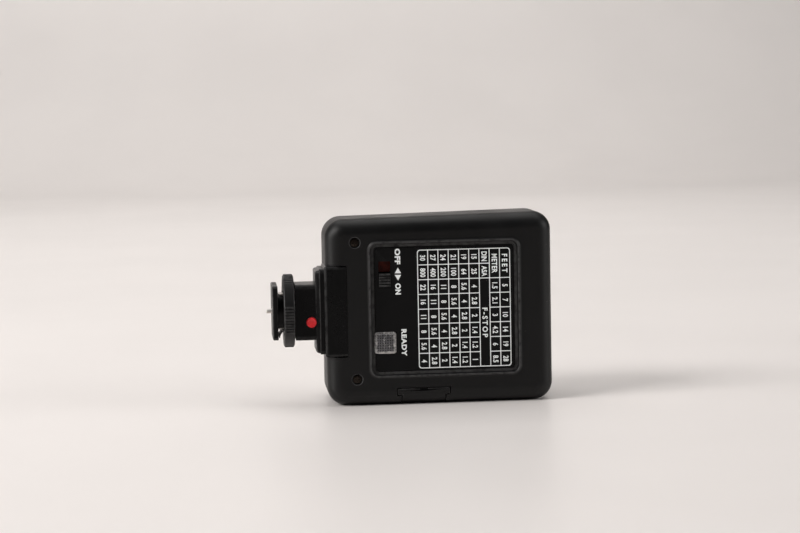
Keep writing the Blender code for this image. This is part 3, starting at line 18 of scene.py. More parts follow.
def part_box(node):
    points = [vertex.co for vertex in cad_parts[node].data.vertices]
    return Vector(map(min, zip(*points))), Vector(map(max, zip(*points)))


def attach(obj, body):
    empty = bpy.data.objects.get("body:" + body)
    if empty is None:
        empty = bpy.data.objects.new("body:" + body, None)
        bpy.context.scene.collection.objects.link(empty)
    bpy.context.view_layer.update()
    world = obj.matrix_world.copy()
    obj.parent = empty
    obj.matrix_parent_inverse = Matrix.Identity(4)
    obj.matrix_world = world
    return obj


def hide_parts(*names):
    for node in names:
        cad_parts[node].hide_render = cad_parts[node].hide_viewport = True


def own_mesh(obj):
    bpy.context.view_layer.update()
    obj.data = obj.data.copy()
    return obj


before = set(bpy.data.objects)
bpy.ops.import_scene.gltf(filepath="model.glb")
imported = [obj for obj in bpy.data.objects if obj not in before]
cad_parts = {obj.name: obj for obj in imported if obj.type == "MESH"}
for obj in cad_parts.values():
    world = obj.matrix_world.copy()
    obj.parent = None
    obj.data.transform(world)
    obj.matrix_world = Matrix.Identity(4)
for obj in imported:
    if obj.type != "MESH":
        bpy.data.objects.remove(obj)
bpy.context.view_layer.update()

log = logging.getLogger("flash")

MM = 0.001
CASE_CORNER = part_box("rear_cover")[0]
ROOT = "case"
SOLVER = "EXACT"
# Face attribute of small rounded edges, which are painted paler for wear and a painted highlight.
EDGE_ATTRIBUTE = "worn_and_highlit_edge"
OVERCUT = 1.0
RIGHT_ANGLE = math.pi / 2

Place = tuple[float, float, float]
Colour = tuple[float, float, float]
Step = tuple[float, float]


def node_box(name: str) -> tuple[Vector, Vector]:
    """Box of a frame node in millimetres in the case's frame.

    Args:
        name: The node's name.

    Returns:
        Its lowest and its highest corner.
    """
    low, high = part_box(name)
    return (low - CASE_CORNER) / MM, (high - CASE_CORNER) / MM


# Shading


class Value:
    """One output socket, with arithmetic that adds Math nodes."""

    def __init__(self, shading: "Shading", socket: Any) -> None:
        """Wrap a socket of the shading's node tree."""
        self.shading = shading
        self.socket = socket

    def _math(self, operation: str, first: Any, second: Any = 0.0) -> "Value":
        """Add a Math node on two values."""
        return self.shading.node("ShaderNodeMath", {"operation": operation}, {0: first, 1: second})

    def __add__(self, other: Any) -> "Value":
        """Sum of two values."""
        return self._math("ADD", self, other)

    def __sub__(self, other: Any) -> "Value":
        """Difference of two values."""
        return self._math("SUBTRACT", self, other)

    def __rsub__(self, other: Any) -> "Value":
        """Difference of a number and this value."""
        return self._math("SUBTRACT", other, self)

    def __mul__(self, other: Any) -> "Value":
        """Product of two values."""
        return self._math("MULTIPLY", self, other)

    __radd__ = __add__
    __rmul__ = __mul__

    def larger(self, other: Any) -> "Value":
        """Larger of two values."""
        return self._math("MAXIMUM", self, other)

    def wave(self) -> "Value":
        """Sine of this value."""
        return self._math("SINE", self)

    def ramp(self, low: float, high: float, to_low: float = 0.0, to_high: float = 1.0) -> "Value":
        """Smooth step of this value.

        Args:
            low: Value where the step starts.
            high: Value where the step ends.
            to_low: Result at the start.
            to_high: Result at the end.

        Returns:
            The stepped value.
        """
        settings = {"interpolation_type": "SMOOTHSTEP"}
        inputs = {"Value": self, "From Min": low, "From Max": high, "To Min": to_low, "To Max": to_high}
        return self.shading.node("ShaderNodeMapRange", settings, inputs)


class Shading:
    """A material's node tree, with one method that adds any node."""

    def __init__(self, name: str) -> None:
        """Start a material with only its output.

        Args:
            name: Name of the material.
        """
        self.material = bpy.data.materials.new(name)
        self.material.use_nodes = True
        self.tree = self.material.node_tree
        self.tree.nodes.clear()
        self.output = self.tree.nodes.new("ShaderNodeOutputMaterial")

    def node(self, kind: str, settings: dict[str, Any] | None = None, inputs: dict[Any, Any] | None = None,
             result: Any = 0) -> Value:
        """Add a node.

        Args:
            kind: Blender's type name.
            settings: Properties that are set first, such as a Math node's operation.
            inputs: Values or links of its sockets, by name or number.
            result: Name or number of the output that is wanted.

        Returns:
            That output.
        """
        made = self.tree.nodes.new(kind)
        for name, value in (settings or {}).items():
            setattr(made, name, value)
        for name, value in (inputs or {}).items():
            if isinstance(value, Value):
                self.tree.links.new(value.socket, made.inputs[name])
            else:
                made.inputs[name].default_value = value
        return Value(self, made.outputs[result])

    def place(self, stretch: Place = (1.0, 1.0, 1.0), shift: Place = (0.0, 0.0, 0.0)) -> Value:
        """Position on the piece in millimetres.

        Args:
            stretch: Factor on each axis, so that a pattern can run along one.
            shift: Move that keeps two patterns apart.

        Returns:
            The position as a vector.
        """
        where = self.node("ShaderNodeTexCoord", result="Object")
        scale = tuple(factor / MM for factor in stretch)
        return self.node("ShaderNodeMapping", None, {"Vector": where, "Scale": scale, "Location": shift})

    def noise(self, size: float, detail: float = 3.0, stretch: Place = (1.0, 1.0, 1.0),
              shift: float = 0.0) -> Value:
        """Soft random pattern.

        Args:
            size: Size of its blobs in millimetres.
            detail: Octaves.
            stretch: Factor on each axis.
            shift: Move that keeps two patterns apart.

        Returns:
            A value round one half.
        """
        inputs = {"Vector": self.place(stretch, (shift, shift, shift)), "Scale": 1.0 / size, "Detail": detail}
        return self.node("ShaderNodeTexNoise", {"noise_dimensions": "3D"}, inputs)

    def specks(self, spacing: float, radius: float, share: float, shift: float = 0.0) -> Value:
        """Scattered round specks.

        Args:
            spacing: Cell size in millimetres.
            radius: Radius of a speck in millimetres.
            share: Share of the cells that have one.
            shift: Move that keeps two patterns apart.

        Returns:
            1 in a speck and 0 outside.
        """
        inputs = {"Vector": self.place(shift=(shift, shift, shift)), "Scale": 1.0 / spacing}
        settings = {"feature": "F1"}
        distance = self.node("ShaderNodeTexVoronoi", settings, inputs, "Distance")
        chance = self.node("ShaderNodeTexVoronoi", settings, inputs, "Color")
        picked = self.node("ShaderNodeSeparateColor", None, {0: chance}, 0).ramp(share, share * 0.9)
        reach = radius / spacing
        return distance.ramp(reach, reach * 0.5) * picked

    def mix(self, factor: Any, first: Any, second: Any) -> Value:
        """Blend two colours by a factor."""
        inputs = {"Factor": factor, 6: self._colour(first), 7: self._colour(second)}
        return self.node("ShaderNodeMix", {"data_type": "RGBA"}, inputs, 2)

    @staticmethod
    def _colour(value: Any) -> Any:
        """A colour with alpha, or a link as it is."""
        return value if isinstance(value, Value) else (*value, 1.0)

    def bump(self, height: Value, depth: float, under: Value | None = None, strength: float = 1.0) -> Value:
        """Relief.

        Args:
            height: Pattern from 0 to 1.
            depth: Its depth in millimetres.
            under: Relief that it lies on.
            strength: Share of the effect.

        Returns:
            A normal.
        """
        inputs = {"Height": height, "Distance": depth * MM, "Strength": strength}
        if under is not None:
            inputs["Normal"] = under
        return self.node("ShaderNodeBump", None, inputs)

    def edge(self) -> Value:
        """1 on the narrow faces of small rounded edges, painted paler for wear and highlight."""
        return self.node("ShaderNodeAttribute", {"attribute_name": EDGE_ATTRIBUTE}, result="Fac")

    def finish(self, inputs: dict[str, Any]) -> bpy.types.Material:
        """End with a Principled shader.

        Args:
            inputs: Its sockets.

        Returns:
            The material.
        """
        shader = self.node("ShaderNodeBsdfPrincipled", None, inputs)
        self.tree.links.new(shader.socket, self.output.inputs["Surface"])
        return self.material


class Finish:
    """What a surface is made of; each kind draws its own nodes."""

    name: str

    def draw(self, shading: Shading) -> bpy.types.Material:
        """Draw the nodes."""
        raise NotImplementedError

    def material(self) -> bpy.types.Material:
        """The finish's material, made once."""
        found = bpy.data.materials.get(self.name)
        return found or self.draw(Shading(self.name))


@dataclass(frozen=True)
class Moulding(Finish):
    """Moulded plastic with an eroded grain, faint scratches, dust, and edges painted paler for wear and
    highlight.
    """

    name: str
    colour: Colour
    roughness: float = 0.4
    grain: float = 0.35
    depth: float = 0.012
    # Share of the paler edge colour, which is partly rubbed wear and partly a painted highlight.
    rub_and_highlight: float = 0.6
    dust: float = 0.5
    shine: float = 0.28

    def draw(self, shading: Shading) -> bpy.types.Material:
        """Draw the nodes.

        Args:
            shading: Tree that they are drawn in.

        Returns:
            The material.
        """
        blotch = shading.noise(9.0, 4.0, shift=3.0)
        grain = shading.noise(self.grain, 2.0)
        scratch = shading.noise(0.5, 4.0, (0.06, 1.0, 1.0), 7.0).ramp(0.68, 0.78)
        cross = shading.noise(0.45, 4.0, (1.0, 1.0, 0.05), 17.0).ramp(0.70, 0.80)
        hair = scratch.larger(cross) * blotch.ramp(0.45, 0.6)
        # Painted highlight: small rounded edges get a paler colour, partly rubbed wear, partly light painted
        # in.
        wear_and_highlight = shading.edge() * shading.noise(1.8, 3.0, shift=11.0).ramp(0.2, 0.6)
        speck = shading.specks(2.6, 0.11, 0.16, 5.0) * self.dust
        # The paler colour of those edges, for wear and a painted highlight.
        pale = tuple(channel * 3.0 + 0.04 for channel in self.colour)
        deep = tuple(channel * 0.78 for channel in self.colour)
        colour = shading.mix(blotch.ramp(0.3, 0.7), deep, self.colour)
        colour = shading.mix(wear_and_highlight * self.rub_and_highlight, colour, pale)
        colour = shading.mix(speck, colour, (0.32, 0.3, 0.27))
        smear = shading.noise(14.0, 5.0, (1.0, 1.0, 0.4), 23.0).ramp(0.35, 0.7, -0.05, 0.06)
        rough = grain * 0.1 + (self.roughness - 0.05) + smear - wear_and_highlight * 0.08 - hair * 0.05 + speck * 0.3
        relief = shading.bump(grain, self.depth)
        relief = shading.bump(hair, -0.006, relief)
        relief = shading.bump(blotch, 0.05, relief, 0.5)
        return shading.finish({"Base Color": colour, "Roughness": rough, "Normal": relief,
                               "Specular IOR Level": self.shine})


@dataclass(frozen=True)
class Metal(Finish):
    """Bare or plated metal with a drawn grain, tarnish and dulled patches."""

    name: str
    colour: Colour
    tarnish: Colour
    roughness: float = 0.3
    spread: float = 0.5
    along: Place = (0.08, 1.0, 1.0)

    def draw(self, shading: Shading) -> bpy.types.Material:
        """Draw the nodes.

        Args:
            shading: Tree that they are drawn in.

        Returns:
            The material.
        """
        drawn = shading.noise(0.14, 3.0, self.along)
        cloud = shading.noise(2.4, 5.0, shift=9.0)
        spot = shading.specks(1.1, 0.12, 0.25, 2.0)
        stain = (cloud.ramp(0.4, 0.7) * self.spread).larger(spot * self.spread)
        colour = shading.mix(stain, self.colour, self.tarnish)
        rough = drawn * 0.18 + (self.roughness - 0.09) + stain * 0.18
        relief = shading.bump(drawn, 0.006)
        return shading.finish({"Base Color": colour, "Roughness": rough, "Metallic": 1.0, "Normal": relief})


@dataclass(frozen=True)
class Clear(Finish):
    """Clear plastic or glass, faintly hazed, with fine rubs."""

    name: str
    colour: Colour
    roughness: float = 0.06
    refraction: float = 1.49
    haze: float = 0.1

    def draw(self, shading: Shading) -> bpy.types.Material:
        """Draw the nodes.

        Args:
            shading: Tree that they are drawn in.

        Returns:
            The material.
        """
        cloud = shading.noise(3.0, 4.0)
        scratch = shading.noise(0.3, 4.0, (1.0, 1.0, 0.08), 4.0).ramp(0.62, 0.75)
        rough = cloud * self.haze + self.roughness + scratch * 0.12
        deep = tuple(channel * 0.93 for channel in self.colour)
        tint = shading.mix(cloud.ramp(0.35, 0.7), self.colour, deep)
        relief = shading.bump(scratch, -0.003)
        return shading.finish({"Base Color": tint, "Roughness": rough, "Normal": relief,
                               "Transmission Weight": 1.0, "IOR": self.refraction})


@dataclass(frozen=True)
class Prismatic(Finish):
    """Clear lens: hazy frame with a painted highlight, round a grid of prisms painted dark as shade."""

    name: str
    centre: Place
    half: float = 2.95
    pitch: float = 0.86
    pale: Colour = (0.85, 0.83, 0.81)
    dark: Colour = (0.13, 0.128, 0.138)
    dot: Colour = (0.01, 0.01, 0.012)

    def draw(self, shading: Shading) -> bpy.types.Material:
        """Draw the nodes.

        Args:
            shading: Tree that they are drawn in.

        Returns:
            The material.
        """
        shift = tuple(-(CASE_CORNER / MM + Vector(self.centre)))
        where = shading.place(shift=shift)
        across = shading.node("ShaderNodeSeparateXYZ", None, {0: where}, 0)
        along = shading.node("ShaderNodeSeparateXYZ", None, {0: where}, 2)
        cloud = shading.noise(0.9, 4.0)
        reach = self._size(across).larger(self._size(along))
        frame_share = (reach + cloud * 0.8).ramp(self.half, self.half + 0.6)
        wave = 2.0 * math.pi / self.pitch
        columns = (across * wave + RIGHT_ANGLE).wave() * 0.5 + 0.5
        rows = (along * wave + RIGHT_ANGLE).wave() * 0.5 + 0.5
        cells = columns * rows
        # Painted shade: the prisms' cells are painted near black, the dark inside of the lamp seen through
        # them.
        colour = shading.mix(cells.ramp(0.15, 0.5), self.dark, self.dot)
        colour = shading.mix(cloud.ramp(0.55, 0.8) * 0.6, colour, self.pale)
        # Painted highlight: the frame's haze is painted paler towards one corner, as the light falls on it.
        lit = (across - along).ramp(-6.0, 4.0, 0.3, 1.0)
        colour = shading.mix(frame_share * cloud.ramp(0.35, 0.6, 0.35, 1.0) * lit, colour, self.pale)
        rough = cloud * 0.15 + 0.12
        relief = shading.bump(cells, 0.05)
        return shading.finish({"Base Color": colour, "Roughness": rough, "Normal": relief,
                               "Transmission Weight": 0.35, "IOR": 1.49})

    @staticmethod
    def _size(value: Value) -> Value:
        """Size of a value without its sign."""
        return value.larger(value * -1.0)


@dataclass(frozen=True)
class Ink(Finish):
    """Screen-printed ink with thin spots."""

    name: str
    colour: Colour
    thin: Colour

    def draw(self, shading: Shading) -> bpy.types.Material:
        """Draw the nodes.

        Args:
            shading: Tree that they are drawn in.

        Returns:
            The material.
        """
        weave = shading.noise(0.16, 3.0)
        cloud = shading.noise(4.0, 3.0, shift=6.0)
        colour = shading.mix(weave.ramp(0.62, 0.8) * 0.6, self.colour, self.thin)
        colour = shading.mix(cloud.ramp(0.4, 0.7) * 0.12, colour, self.thin)
        relief = shading.bump(weave, 0.006)
        return shading.finish({"Base Color": colour, "Roughness": cloud * 0.2 + 0.42, "Normal": relief})


@dataclass(frozen=True)
class Gloss(Finish):
    """Coloured plastic with some light inside it."""

    name: str
    colour: Colour
    deep: Colour
    roughness: float = 0.28
    glow: float = 0.12
    shine: float = 0.4

    def draw(self, shading: Shading) -> bpy.types.Material:
        """Draw the nodes.

        Args:
            shading: Tree that they are drawn in.

        Returns:
            The material.
        """
        cloud = shading.noise(1.6, 4.0)
        fine = shading.noise(0.2, 2.0, shift=8.0)
        speck = shading.specks(0.9, 0.07, 0.2, 3.0)
        colour = shading.mix(cloud.ramp(0.35, 0.7), self.colour, self.deep)
        colour = shading.mix(speck * 0.5, colour, (0.3, 0.26, 0.24))
        rough = fine * 0.12 + (self.roughness - 0.06) + speck * 0.3
        return shading.finish({"Base Color": colour, "Roughness": rough, "Normal": shading.bump(fine, 0.004),
                               "Specular IOR Level": self.shine,
                               "Subsurface Weight": self.glow, "Subsurface Scale": 0.4 * MM,
                               "Subsurface Radius": (1.0, 0.3, 0.2)})


@dataclass(frozen=True)
class Layered(Finish):
    """Board, tape, winding or sleeve: fine lines across one axis over a cloudy ground."""

    name: str
    colour: Colour
    line: Colour
    pitch: float = 0.3
    axis: int = 2
    depth: float = 0.02
    roughness: float = 0.5
    metallic: float = 0.0

    def draw(self, shading: Shading) -> bpy.types.Material:
        """Draw the nodes.

        Args:
            shading: Tree that they are drawn in.

        Returns:
            The material.
        """
        cloud = shading.noise(1.7, 4.0)
        where = shading.node("ShaderNodeSeparateXYZ", None, {0: shading.place()}, self.axis)
        drift = shading.noise(3.5, 2.0, shift=5.0) * (self.pitch * 1.5)
        thread = ((where + drift) * (2.0 * math.pi / self.pitch)).wave() * 0.5 + 0.5
        colour = shading.mix(thread.ramp(0.2, 0.8), self.line, self.colour)
        colour = shading.mix(cloud.ramp(0.45, 0.75) * 0.4, colour, self.line)
        relief = shading.bump(thread, self.depth)
        return shading.finish({"Base Color": colour, "Roughness": cloud * 0.2 + (self.roughness - 0.1),
                               "Metallic": self.metallic, "Normal": relief})


@dataclass(frozen=True)
class Sweep(Finish):
    """Painted studio floor with a faint roller texture."""

    name: str
    colour: Colour
    roughness: float = 0.35

    def draw(self, shading: Shading) -> bpy.types.Material:
        """Draw the nodes.

        Args:
            shading: Tree that they are drawn in.

        Returns:
            The material.
        """
        cloud = shading.noise(160.0, 3.0)
        fine = shading.noise(2.2, 3.0, shift=4.0)
        deep = tuple(channel * 0.97 for channel in self.colour)
        colour = shading.mix(cloud.ramp(0.3, 0.7), self.colour, deep)
        rough = fine * 0.06 + self.roughness
        relief = shading.bump(fine, 0.01)
        return shading.finish({"Base Color": colour, "Roughness": rough, "Normal": relief})


# Each moulding's edge share paints its small rounded edges paler: partly rubbed wear, partly a painted
# highlight.
CASE_BLACK = Moulding("case_black", (0.0028, 0.0028, 0.003), 0.42, rub_and_highlight=1.0)
NECK_BLACK = Moulding("neck_black", (0.0024, 0.0024, 0.0026), 0.32, grain=0.3, depth=0.008, rub_and_highlight=0.75,
                      shine=0.12)
FOOT_BLACK = Moulding("foot_black", (0.003, 0.003, 0.0032), 0.4, rub_and_highlight=0.8, shine=0.14)
WHEEL_BLACK = Moulding("wheel_black", (0.0032, 0.0032, 0.0034), 0.46, rub_and_highlight=0.6)
PLATE_BLACK = Moulding("plate_black", (0.0035, 0.0035, 0.0038), 0.46, grain=0.22, depth=0.006, rub_and_highlight=0.2,
                       shine=0.14)
KNOB_BLACK = Moulding("knob_black", (0.005, 0.005, 0.005), 0.42, grain=0.2, rub_and_highlight=1.0, shine=0.14)
CHAMBER_GREY = Moulding("chamber_grey", (0.035, 0.035, 0.036), 0.5, grain=0.5, dust=0.2)
# Painted shade: the flag's red is painted dark for the shade it lies in, deep in the switch's slot.
FLAG_RED_SHADED = Gloss("flag_red_painted_shade", (0.075, 0.008, 0.003), (0.04, 0.004, 0.002), 0.45, 0.0, 0.12)
BUTTON_RED = Gloss("button_bright_red", (0.98, 0.035, 0.045), (0.8, 0.022, 0.03), 0.3, 0.2)
PRINT_WHITE = Ink("print_white", (0.96, 1.0, 1.0), (0.5, 0.52, 0.53))
NICKEL = Metal("nickel_silver", (0.86, 0.84, 0.81), (0.5, 0.45, 0.38), 0.4)
BLACK_STEEL = Metal("black_steel", (0.09, 0.085, 0.08), (0.03, 0.027, 0.025), 0.36)
BROWN_STEEL = Metal("brown_steel", (0.05, 0.041, 0.034), (0.02, 0.015, 0.012), 0.38, 0.8, (1.0, 1.0, 1.0))
ALUMINIUM = Metal("bright_aluminium", (0.9, 0.9, 0.91), (0.7, 0.7, 0.7), 0.14, 0.3, (1.0, 1.0, 0.05))
LENS_CLEAR = Prismatic("lens_clear", (19.95, 0.0, 21.65))
WINDOW_CLEAR = Clear("window_clear", (0.95, 0.95, 0.94), 0.08, haze=0.14)
TUBE_GLASS = Clear("flash_glass", (0.97, 0.98, 0.99), 0.02, 1.46, 0.02)
NEON_GLASS = Clear("lamp_glass", (0.95, 0.85, 0.78), 0.03, 1.5, 0.03)
BOARD_BROWN = Layered("board_brown", (0.27, 0.15, 0.05), (0.2, 0.1, 0.03), 0.5, 2, 0.01, 0.55)
TAPE_YELLOW = Layered("tape_yellow", (0.62, 0.45, 0.08), (0.45, 0.28, 0.04), 3.5, 1, 0.03, 0.4)
WIRE_COPPER = Layered("wire_copper", (0.65, 0.28, 0.1), (0.22, 0.07, 0.02), 0.25, 2, 0.05, 0.35, 0.9)
CAPACITOR_BLUE = Layered("capacitor_blue", (0.02, 0.03, 0.09), (0.012, 0.018, 0.06), 6.0, 2, 0.02, 0.32)
COMPONENT_BLACK = Moulding("package_black", (0.02, 0.02, 0.02), 0.5, grain=0.15)
SILICONE_WHITE = Gloss("silicone_white", (0.68, 0.67, 0.63), (0.58, 0.56, 0.5), 0.5, 0.3)
FLOOR_PALE = Sweep("floor_pale", (0.8, 0.765, 0.745))


# Modelling


class Facing(Enum):
    """Way that a flat start faces: its first, second and outward axes."""

    BACK = ((1, 0, 0), (0, 0, 1), (0, -1, 0))
    FRONT = ((0, 0, 1), (1, 0, 0), (0, 1, 0))
    FOOT = ((0, 0, 1), (0, 1, 0), (-1, 0, 0))
    HEAD = ((0, 1, 0), (0, 0, 1), (1, 0, 0))
    UP = ((1, 0, 0), (0, 1, 0), (0, 0, 1))

    @property
    def out(self) -> Vector:
        """The outward direction."""
        return Vector(self.value[2])

    def turn(self) -> Matrix:
        """Matrix that turns a flat start this way."""
        return Matrix([Vector(axis) for axis in self.value]).transposed().to_4x4()


def fillet(radius: float, steps: int) -> list[Step]:
    """Rounded outside edge.

    Args:
        radius: Its radius.
        steps: Number of facets.

    Returns:
        Moves, each how far outwards and how far in from the edge.
    """
    angles = [RIGHT_ANGLE * step / steps for step in range(steps + 1)]
    return [(radius * (math.sin(b) - math.sin(a)), radius * (math.cos(a) - math.cos(b)))
            for a, b in zip(angles, angles[1:])]


def rim(radius: float, steps: int) -> list[Step]:
    """Rounded mouth of a hole, as moves of the tool that cuts it, each how deep and how far in."""
    return [(depth, inset) for inset, depth in fillet(radius, steps)]


class Bench:
    """Blender's own modelling operators, in millimetres in the case's frame."""

    def clear(self) -> None:
        """Leave edit mode and select nothing."""
        if bpy.context.object and bpy.context.object.mode != "OBJECT":
            bpy.ops.object.mode_set(mode="OBJECT")
        bpy.ops.object.select_all(action="DESELECT")

    def pick(self, thing: bpy.types.Object) -> None:
        """Select one object and make it active.

        Args:
            thing: The object.
        """
        self.clear()
        thing.select_set(True)
        bpy.context.view_layer.objects.active = thing

    def edit(self, thing: bpy.types.Object, mode: str = "FACE") -> None:
        """Go into edit mode on an object, with all of it selected.

        Args:
            thing: The object.
            mode: VERT, EDGE or FACE.
        """
        self.pick(thing)
        bpy.ops.object.mode_set(mode="EDIT")
        bpy.ops.mesh.select_mode(type=mode)
        bpy.ops.mesh.select_all(action="SELECT")

    def choose(self, thing: bpy.types.Object, kind: str, test: Callable[[Any], bool]) -> int:
        """Select by place or normal in edit mode.

        Args:
            thing: The object, in edit mode.
            kind: "verts", "edges" or "faces".
            test: What is selected.

        Returns:
            How many are selected.
        """
        bpy.ops.mesh.select_mode(type={"verts": "VERT", "edges": "EDGE", "faces": "FACE"}[kind])
        bpy.ops.mesh.select_all(action="DESELECT")
        body = bmesh.from_edit_mesh(thing.data)
        chosen = [item for item in getattr(body, kind) if test(item)]
        for item in chosen:
            item.select_set(True)
        bmesh.update_edit_mesh(thing.data)
        return len(chosen)

    def _begin(self, name: str, facing: Facing, centre: Place, size: Sequence[float]) -> bpy.types.Object:
        """Name the new primitive and bring it to its place and size.

        Args:
            name: Its name.
            facing: Way it faces.
            centre: Its middle.
            size: Its size along its own axes.

        Returns:
            The object.
        """
        thing = bpy.context.object
        thing.name = name
        thing.matrix_world = Matrix.Translation(centre) @ facing.turn() @ Matrix.Diagonal((*size, 1.0))
        bpy.ops.object.transform_apply(location=True, rotation=True, scale=True)
        return thing

    def plate(self, name: str, facing: Facing, centre: Place, size: Place, corner: float = 0.0,
              steps: int = 6) -> bpy.types.Object:
        """Flat start with rounded corners, left in edit mode.

        Args:
            name: Name of the object.
            facing: Way it faces.
            centre: Its middle.
            size: Its size along X, Y and Z.
            corner: Radius of its corners.
            steps: Facets in each corner.

        Returns:
            The object.
        """
        self.clear()
        bpy.ops.mesh.primitive_plane_add(size=1.0)
        spans = [abs(Vector(size).dot(Vector(axis))) for axis in facing.value[:2]]
        thing = self._begin(name, facing, centre, (*spans, 1.0))
        self.edit(thing)
        if corner:
            bpy.ops.mesh.bevel(offset=corner, segments=steps, affect="VERTICES")
            bpy.ops.mesh.select_all(action="SELECT")
        return thing

    def disc(self, name: str, facing: Facing, centre: Place, radius: float,
             sides: int = 48) -> bpy.types.Object:
        """Round flat start, left in edit mode.

        Args:
            name: Its name.
            facing: Way it faces.
            centre: Its middle.
            radius: Its radius.
            sides: Facets round it.

        Returns:
            The object.
        """
        self.clear()
        bpy.ops.mesh.primitive_circle_add(vertices=sides, radius=radius, fill_type="NGON")
        thing = self._begin(name, facing, centre, (1.0, 1.0, 1.0))
        self.edit(thing)
        return thing

    def pull(self, facing: Facing, moves: Sequence[Step]) -> None:
        """Pull the selected cap outwards, each move how far out and how far in from its edge.

        Args:
            facing: Way it faces.
            moves: Moves that pull it, each how far out and how far in.
        """
        for rise, inset in moves:
            if inset:
                bpy.ops.mesh.inset(thickness=inset, depth=rise)
            else:
                bpy.ops.mesh.extrude_region_move(TRANSFORM_OT_translate={"value": facing.out * rise})

    def block(self, name: str, facing: Facing, centre: Place, size: Place, moves: Sequence[Step],
              corner: float = 0.0, steps: int = 6) -> bpy.types.Object:
        """Rounded plate pulled through moves into a solid.

        Args:
            name: Its name.
            facing: Way it faces.
            centre: Its middle.
            size: Its size along X, Y and Z.
            moves: Moves that pull it, each how far out and how far in.
            corner: Radius of its corners.
            steps: Facets in each corner.

        Returns:
            The solid.
        """
        thing = self.plate(name, facing, centre, size, corner, steps)
        self.pull(facing, moves)
        self.clear()
        return thing

    def bar(self, name: str, low: Place, high: Place, corner: float = 0.0) -> bpy.types.Object:
        """Plain bar between two corners, for cutting and joining.

        Args:
            name: Its name.
            low: Its lowest corner.
            high: Its highest corner.
            corner: Radius of its corners.

        Returns:
            The solid.
        """
        size = Vector(high) - Vector(low)
        centre = ((low[0] + high[0]) / 2, (low[1] + high[1]) / 2, low[2])
        return self.block(name, Facing.UP, centre, (size.x, size.y, 0.0), [(size.z, 0.0)], corner)

    def round(self, name: str, facing: Facing, centre: Place, moves: Sequence[Step], radius: float,
              sides: int = 48) -> bpy.types.Object:
        """Round plate pulled through moves into a solid.

        Args:
            name: Its name.
            facing: Way it faces.
            centre: Its middle.
            moves: Moves that pull it, each how far out and how far in.
            radius: Its radius.
            sides: Facets round it.

        Returns:
            The solid.
        """
        thing = self.disc(name, facing, centre, radius, sides)
        self.pull(facing, moves)
        self.clear()
        return thing

    def turned(self, name: str, facing: Facing, centre: Place, profile: Sequence[Step],
               sides: int = 48) -> bpy.types.Object:
        """Turned solid.

        Args:
            name: Name of the object.
            facing: Way that its axis points.
            centre: Start of its axis.
            profile: Distances along the axis and radii.
            sides: Facets round it.

        Returns:
            The object.
        """
        first, radius = profile[0]
        start = Vector(centre) + facing.out * first
        thing = self.disc(name, facing, tuple(start), radius, sides)
        last = first
        for along, wanted in profile[1:]:
            bpy.ops.mesh.extrude_region_move(TRANSFORM_OT_translate={"value": facing.out * (along - last)})
            factor = wanted / radius
            middle = Vector(centre) + facing.out * along
            bpy.ops.transform.resize(value=(factor, factor, factor), center_override=middle)
            last, radius = along, wanted
        self.clear()
        return thing

    def join(self, things: Sequence[bpy.types.Object]) -> bpy.types.Object:
        """Make one object of several, each keeping its own shells.

        Args:
            things: The objects, of which the first stays.

        Returns:
            The joined object.
        """
        self.clear()
        for thing in things:
            thing.select_set(True)
        bpy.context.view_layer.objects.active = things[0]
        if len(things) > 1:
            bpy.ops.object.join()
        return things[0]

    def combine(self, thing: bpy.types.Object, operation: str, tools: Sequence[bpy.types.Object]) -> None:
        """Add, cut or keep what is shared with tools, which are used up.

        Args:
            thing: The object that changes.
            operation: UNION, DIFFERENCE or INTERSECT.
            tools: The other solids, apart from each other.
        """
        for solid in (thing, *tools):
            self.close(solid)
        tool = self.join(tools)
        self.modify(thing, "BOOLEAN", operation=operation, object=tool, solver=SOLVER)
        bpy.data.objects.remove(tool)

    def modify(self, thing: bpy.types.Object, kind: str, **settings: Any) -> None:
        """Add a modifier and apply it.

        Args:
            thing: The object.
            kind: Blender's type name.
            settings: Properties of the modifier.
        """
        modifier = thing.modifiers.new(kind.lower(), kind)
        for name, value in settings.items():
            setattr(modifier, name, value)
        self.pick(thing)
        bpy.ops.object.modifier_apply(modifier=modifier.name)

    def close(self, thing: bpy.types.Object) -> None:
        """Merge doubles and turn every face outwards.

        Args:
            thing: The object.
        """
        self.edit(thing, "VERT")
        bpy.ops.mesh.remove_doubles(threshold=0.0005)
        bpy.ops.mesh.normals_make_consistent(inside=False)
        self.clear()

    def soften(self, thing: bpy.types.Object, width: float, angle: float = 50.0, steps: int = 2) -> None:
        """Round off the sharp edges with a bevel.

        Args:
            thing: The object.
            width: Width of the bevel.
            angle: Angle in degrees above which an edge is rounded.
            steps: Facets of the bevel.
        """
        self.close(thing)
        self.modify(thing, "BEVEL", width=width, segments=steps, limit_method="ANGLE",
                    angle_limit=math.radians(angle))

    def copy(self, thing: bpy.types.Object, matrix: Matrix) -> bpy.types.Object:
        """Copy an object with its own mesh, moved or turned.

        Args:
            thing: The object.
            matrix: Move or turn of the copy.

        Returns:
            The copy.
        """
        made = thing.copy()
        made.data = thing.data.copy()
        made.data.transform(matrix)
        bpy.context.scene.collection.objects.link(made)
        return made

    def around_foot(self, angle: float, middle: Vector) -> Matrix:
        """Turn about the foot's axis, which runs along X."""
        return Matrix.Translation(middle) @ Matrix.Rotation(angle, 4, "X") @ Matrix.Translation(-middle)

    def mark_edges(self, thing: bpy.types.Object) -> None:
        """Mark the narrow faces of small rounded edges, painted paler for rubbed wear and a painted
        highlight.

        Args:
            thing: The object.
        """
        body = bmesh.new()
        body.from_mesh(thing.data)
        bends = []
        for face in body.faces:
            area = face.calc_area()
            bend = max((edge.calc_face_angle_signed(0.0) * edge.calc_length() / max(area, 1e-6)
                        for edge in face.edges), default=0.0)
            bends.append(min(1.0, max(0.0, bend * 0.8 - 0.15)))
        body.free()
        layer = thing.data.attributes.new(EDGE_ATTRIBUTE, "FLOAT", "FACE")
        layer.data.foreach_set("value", bends)

